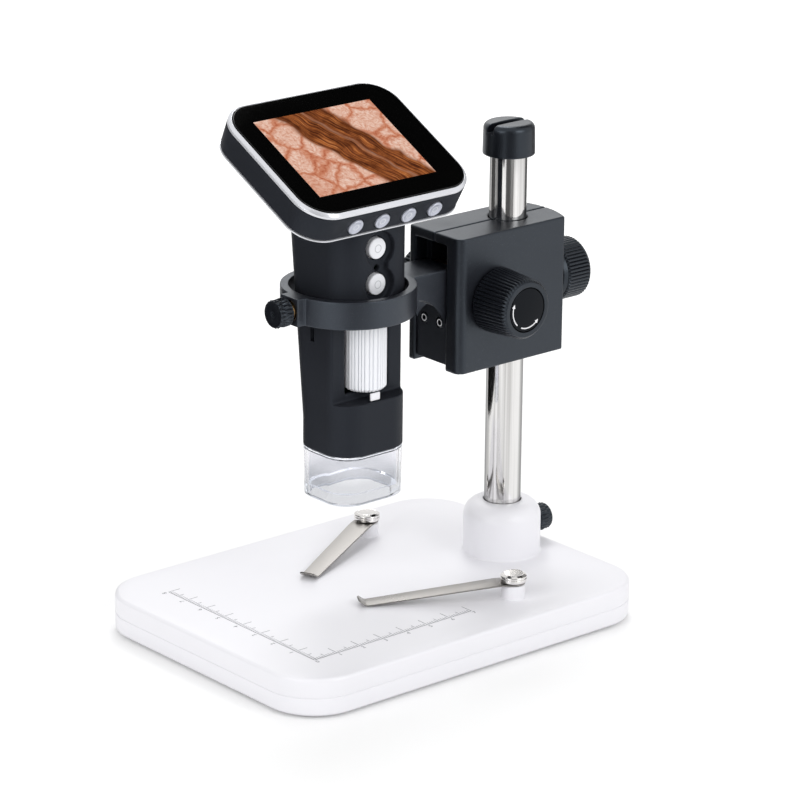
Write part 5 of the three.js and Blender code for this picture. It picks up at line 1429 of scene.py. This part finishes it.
# %% [markdown]
# ## Clear tip
#
# The hood is clear acrylic with thin walls. Light enters its edges and leaves them bright, so the edges are
# what one sees: the collar that plugs into the barrel, the corners, and the thick rim at the bottom whose
# inside is scalloped, eight shallow bays round it. Here that brightness is a painted highlight, a faint glow
# on the faces of these edges, and the lower part of the hood has a painted shade, a darker tone below.

# %% Clear tip
tip_low, tip_high = span("clear_tip")
TIP_SETBACK = 0.1
TIP_TAPER = 0.4
TIP_WALL = 1.5
TIP_SEAT = barrel_low[2] - FIT
RIM_HEIGHT = 4.0
RIM_WALL = 1.0
BAYS = 8
# Painted shade: below this rise above the rim, the hood's colour goes to the darker low tone.
TIP_SHADE_RISE = 10.0
TIP_SHADE_BLEND = 3.0
TIP_SHADE_LOW = (0.66, 0.67, 0.70)
TIP_SHADE_HIGH = (0.90, 0.90, 0.93)
# The faces of these profile steps get a painted glow, a painted highlight on the hood's edges.
GLOW_EDGE_STEPS = (0, 2, 3, 9, 12)
EDGE_GLOW_STRENGTH = 0.3


def tip_ring(inset, height, bays=0.0):
    """The barrel's outline at a height, moved in where cos(BAYS a) is high, which makes the bays."""
    flat = barrel_section(inset, height)
    outward = flat / np.linalg.norm(flat, axis=1)[:, None]
    angle = np.arctan2(flat[:, 1], flat[:, 0])
    flat = flat - outward * (bays * (0.5 + 0.5 * np.cos(BAYS * angle)))[:, None]
    return level_ring(flat, height) + SCOPE


tip_steps = [
    (TIP_SETBACK + TIP_TAPER + 0.35, tip_low[2], 0), (TIP_SETBACK + TIP_TAPER, tip_low[2] + 0.35, 0),
    (TIP_SETBACK, TIP_SEAT - 0.2, 0), (TIP_SETBACK + 0.2, TIP_SEAT, 0), (BARREL_WALL + FIT, TIP_SEAT, 0),
    (BARREL_WALL + FIT, tip_high[2], 0), (BARREL_WALL + FIT + TIP_WALL, tip_high[2], 0),
    (BARREL_WALL + FIT + TIP_WALL, TIP_SEAT, 0), (TIP_SETBACK + TIP_TAPER + TIP_WALL, TIP_SEAT - 1.2, 0),
    (TIP_SETBACK + TIP_TAPER + TIP_WALL, tip_low[2] + RIM_HEIGHT, 0),
    (TIP_SETBACK + TIP_TAPER + TIP_WALL + RIM_WALL, tip_low[2] + RIM_HEIGHT - 0.2, 1.1),
    (TIP_SETBACK + TIP_TAPER + TIP_WALL + RIM_WALL, tip_low[2] + 0.3, 1.1),
    (TIP_SETBACK + TIP_TAPER + TIP_WALL + RIM_WALL - 0.3, tip_low[2], 1.1)]
tip_rings = np.array([tip_ring(*step) for step in tip_steps])
tip = solid(skin(tip_rings, closed=True))
# Marks the faces that get the painted edge glow.
glowing_faces = np.repeat(np.isin(np.arange(len(tip_steps)), GLOW_EDGE_STEPS), tip_rings.shape[1])
tip.data.attributes.new("painted_edge_glow", "FLOAT", "FACE").data.foreach_set("value", glowing_faces.astype(np.float32))
mount(tip, "clear_tip_moulded", "microscope", "clear", ["clear_tip"])

shade = FINISHES["clear"].node_tree
place = node(shade, "ShaderNodeTexCoord", (-900, 600))
height = node(shade, "ShaderNodeSeparateXYZ", (-700, 600))
# Painted shade: the clear finish runs from the darker low tone to the pale high tone by height.
rise = node(shade, "ShaderNodeMapRange", (-500, 600), From_Min=(tip_low[2] + TIP_SHADE_RISE - TIP_SHADE_BLEND) * MM,
            From_Max=(tip_low[2] + TIP_SHADE_RISE + TIP_SHADE_BLEND) * MM)
tip_shade_tone = node(shade, "ShaderNodeMix", (-100, 500), data_type="RGBA")
tip_shade_tone.inputs[6].default_value = (*TIP_SHADE_LOW, 1)
tip_shade_tone.inputs[7].default_value = (*TIP_SHADE_HIGH, 1)
# Painted highlight: the marked edge faces glow faintly blue-white.
edges = node(shade, "ShaderNodeAttribute", (-500, 900), attribute_name="painted_edge_glow")
glow_amount = node(shade, "ShaderNodeMath", (-300, 900), operation="MULTIPLY")
glow_amount.inputs[1].default_value = EDGE_GLOW_STRENGTH
surface = shade.nodes["Principled BSDF"]
surface.inputs["Emission Color"].default_value = (0.9, 0.94, 1.0, 1)
wire(shade, (place.outputs["Object"], height.inputs[0]), (height.outputs[2], rise.inputs["Value"]),
     (rise.outputs[0], tip_shade_tone.inputs[0]), (tip_shade_tone.outputs[2], surface.inputs["Base Color"]),
     (edges.outputs["Fac"], glow_amount.inputs[0]), (glow_amount.outputs[0], surface.inputs["Emission Strength"]))

# %% [markdown]
# ## Screen head
#
# Everything here is drawn flat, in the head's own frame (u across the screen, v up it, w out of it), and
# tilted at the end. A bright trim with a bevelled edge holds the glass; a soft black tray is behind it,
# then a second bright line and the rear cover that meets the barrel.

# %% Head frame and trims
HEAD_HALF_U = 36.3
HEAD_HALF_V = 29.5
HEAD_CORNER = 12.0
TRIM_BEVEL = 1.2
TRIM_BOTTOM = -2.1
SHELL_TOP = TRIM_BOTTOM - FIT
SHELL_HEIGHT = 9.0
SHELL_BOTTOM = SHELL_TOP - SHELL_HEIGHT
HEAD_TAPER = 0.4
SHELL_WALL = 1.8
COVER_BOTTOM = SHELL_BOTTOM - FIT - 1.4
MENU_DEPTH = -7.4
MENU_RADIUS = 2.95
MENU_LENGTH = 3.4
HEAD_OPENING = 9
SOCKET_HALF = 4.1
SOCKET_BELOW = 3.4
SOCKET_ABOVE = 1.2
MENU_PLACES = [1.2 + 11.5 * (i - 1.5) for i in range(4)]


def head_outline(inset):
    """The head seen square on, drawn in by inset."""
    return rounded_box(-HEAD_HALF_U, HEAD_HALF_U, -HEAD_HALF_V, HEAD_HALF_V, HEAD_CORNER, inset, 16)


def tilted(obj):
    """Takes a solid made flat in the head's frame to its place."""
    obj.data.transform(HEAD_MATRIX)
    return obj


trim = filleted([(0, TRIM_BOTTOM, 0.1), (0, -TRIM_BEVEL, 0.3), (TRIM_BEVEL, 0, 0.15),
                 (TRIM_BEVEL, TRIM_BOTTOM, 0)], closed=True)
mount(tilted(solid(stacked(head_outline, trim, closed=True))), "head_trim_ring", "microscope", "bright_trim",
      ["trim_ring"])
LINE_TOP = SHELL_BOTTOM - FIT
LINE_BOTTOM = LINE_TOP - 0.5
line = filleted([(HEAD_TAPER + 2, LINE_BOTTOM, 0), (HEAD_TAPER - 0.2, LINE_BOTTOM, 0.2),
                 (HEAD_TAPER - 0.2, LINE_TOP, 0.2), (HEAD_TAPER + 2, LINE_TOP, 0)], closed=True, steps=3)
mount(tilted(solid(stacked(head_outline, line, closed=True))), "head_lower_trim", "microscope", "bright_trim",
      ["lower_trim"])

# %% Head tray and rear cover
tray_profile = filleted([
    (12, SHELL_BOTTOM, 0), (HEAD_TAPER, SHELL_BOTTOM, 0.4), (0, SHELL_TOP, 0.3), (SHELL_WALL, SHELL_TOP, 0.2),
    (HEAD_TAPER + SHELL_WALL, SHELL_BOTTOM + SHELL_WALL, 0.8), (12, SHELL_BOTTOM + SHELL_WALL, 0)])
tray = solid(stacked(head_outline, tray_profile))
wall_at = -HEAD_HALF_V
combine(tray, "DIFFERENCE", [
    *(placed(rod(MENU_RADIUS + 0.25, -4, 4), "y", (u, wall_at, MENU_DEPTH)) for u in MENU_PLACES),
    rod(HEAD_OPENING, SHELL_BOTTOM - 5, 0),
    box(-SOCKET_HALF, SOCKET_HALF, HEAD_HALF_V - 4, HEAD_HALF_V + 4, MENU_DEPTH - SOCKET_BELOW,
        MENU_DEPTH + SOCKET_ABOVE)])
bevelled(tray, 0.18, 2, limit_method="ANGLE", angle_limit=math.radians(50), use_clamp_overlap=True)
mount(tilted(tray), "head_tray_moulding", "microscope", "soft_black", ["head_shell"])

cover_profile = filleted([
    (12, COVER_BOTTOM, 0), (HEAD_TAPER + 3.4, COVER_BOTTOM, 0.8), (HEAD_TAPER + 2.3, SHELL_BOTTOM - FIT, 0.1),
    (12, SHELL_BOTTOM - FIT, 0)])
cover = solid(stacked(head_outline, cover_profile))
combine(cover, "DIFFERENCE", [rod(HEAD_OPENING, COVER_BOTTOM - 5, 0)])
mount(tilted(cover), "head_rear_cover", "microscope", "soft_black", ["rear_cover"])

# %% Menu buttons
for i, u in enumerate(MENU_PLACES, 1):
    near = wall_at + HEAD_TAPER * (SHELL_TOP - MENU_DEPTH) / SHELL_HEIGHT
    cap_profile = filleted([(0.4, 0, 0), (MENU_RADIUS + 0.9, 0, 0.1), (MENU_RADIUS + 0.9, 0.7, 0.1),
                            (MENU_RADIUS, 0.7, 0.05), (MENU_RADIUS, MENU_LENGTH, 0.45),
                            (MENU_RADIUS - 0.9, MENU_LENGTH - 0.05, 0.3),
                            (MENU_RADIUS - 1.3, MENU_LENGTH - 0.2, 0.3), (0.3, MENU_LENGTH - 0.25, 0)])
    start = near - 0.7 + MENU_LENGTH
    key = solid(placed(turned(cap_profile, 96), "-y", (u, start, MENU_DEPTH)))
    mount(tilted(key), f"menu_key_{i}", f"menu_{i}", "silver_button", [f"menu_button_{i}"])
    sign = placed(thin_ring(0.95, 1.2, 0, 0.05, 48), "-y", (u, start - MENU_LENGTH + 0.27, MENU_DEPTH))
    mount(tilted(solid(sign)), f"menu_sign_{i}", f"menu_{i}", "white_print")

# %% Screen glass
GLASS_THICKNESS = 1.3
glass_profile = filleted([(12, -GLASS_THICKNESS, 0), (TRIM_BEVEL + FIT, -GLASS_THICKNESS, 0.1),
                          (TRIM_BEVEL + FIT, 0, 0.2), (12, 0, 0)])
glass = solid(stacked(head_outline, glass_profile))
flat = np.zeros(len(glass.data.vertices) * 3, np.float32)
glass.data.vertices.foreach_get("co", flat)
corner = np.zeros(len(glass.data.loops), np.int32)
glass.data.loops.foreach_get("vertex_index", corner)
screen_uv = flat.reshape(-1, 3)[corner][:, :2] / MM / UV_SPAN + 0.5
glass.data.uv_layers.new(name="screen").data.foreach_set("uv", screen_uv.ravel())
mount(tilted(glass), "screen_glass_plate", "microscope", "screen_glass", ["screen_glass"],
      variant="screen_picture")
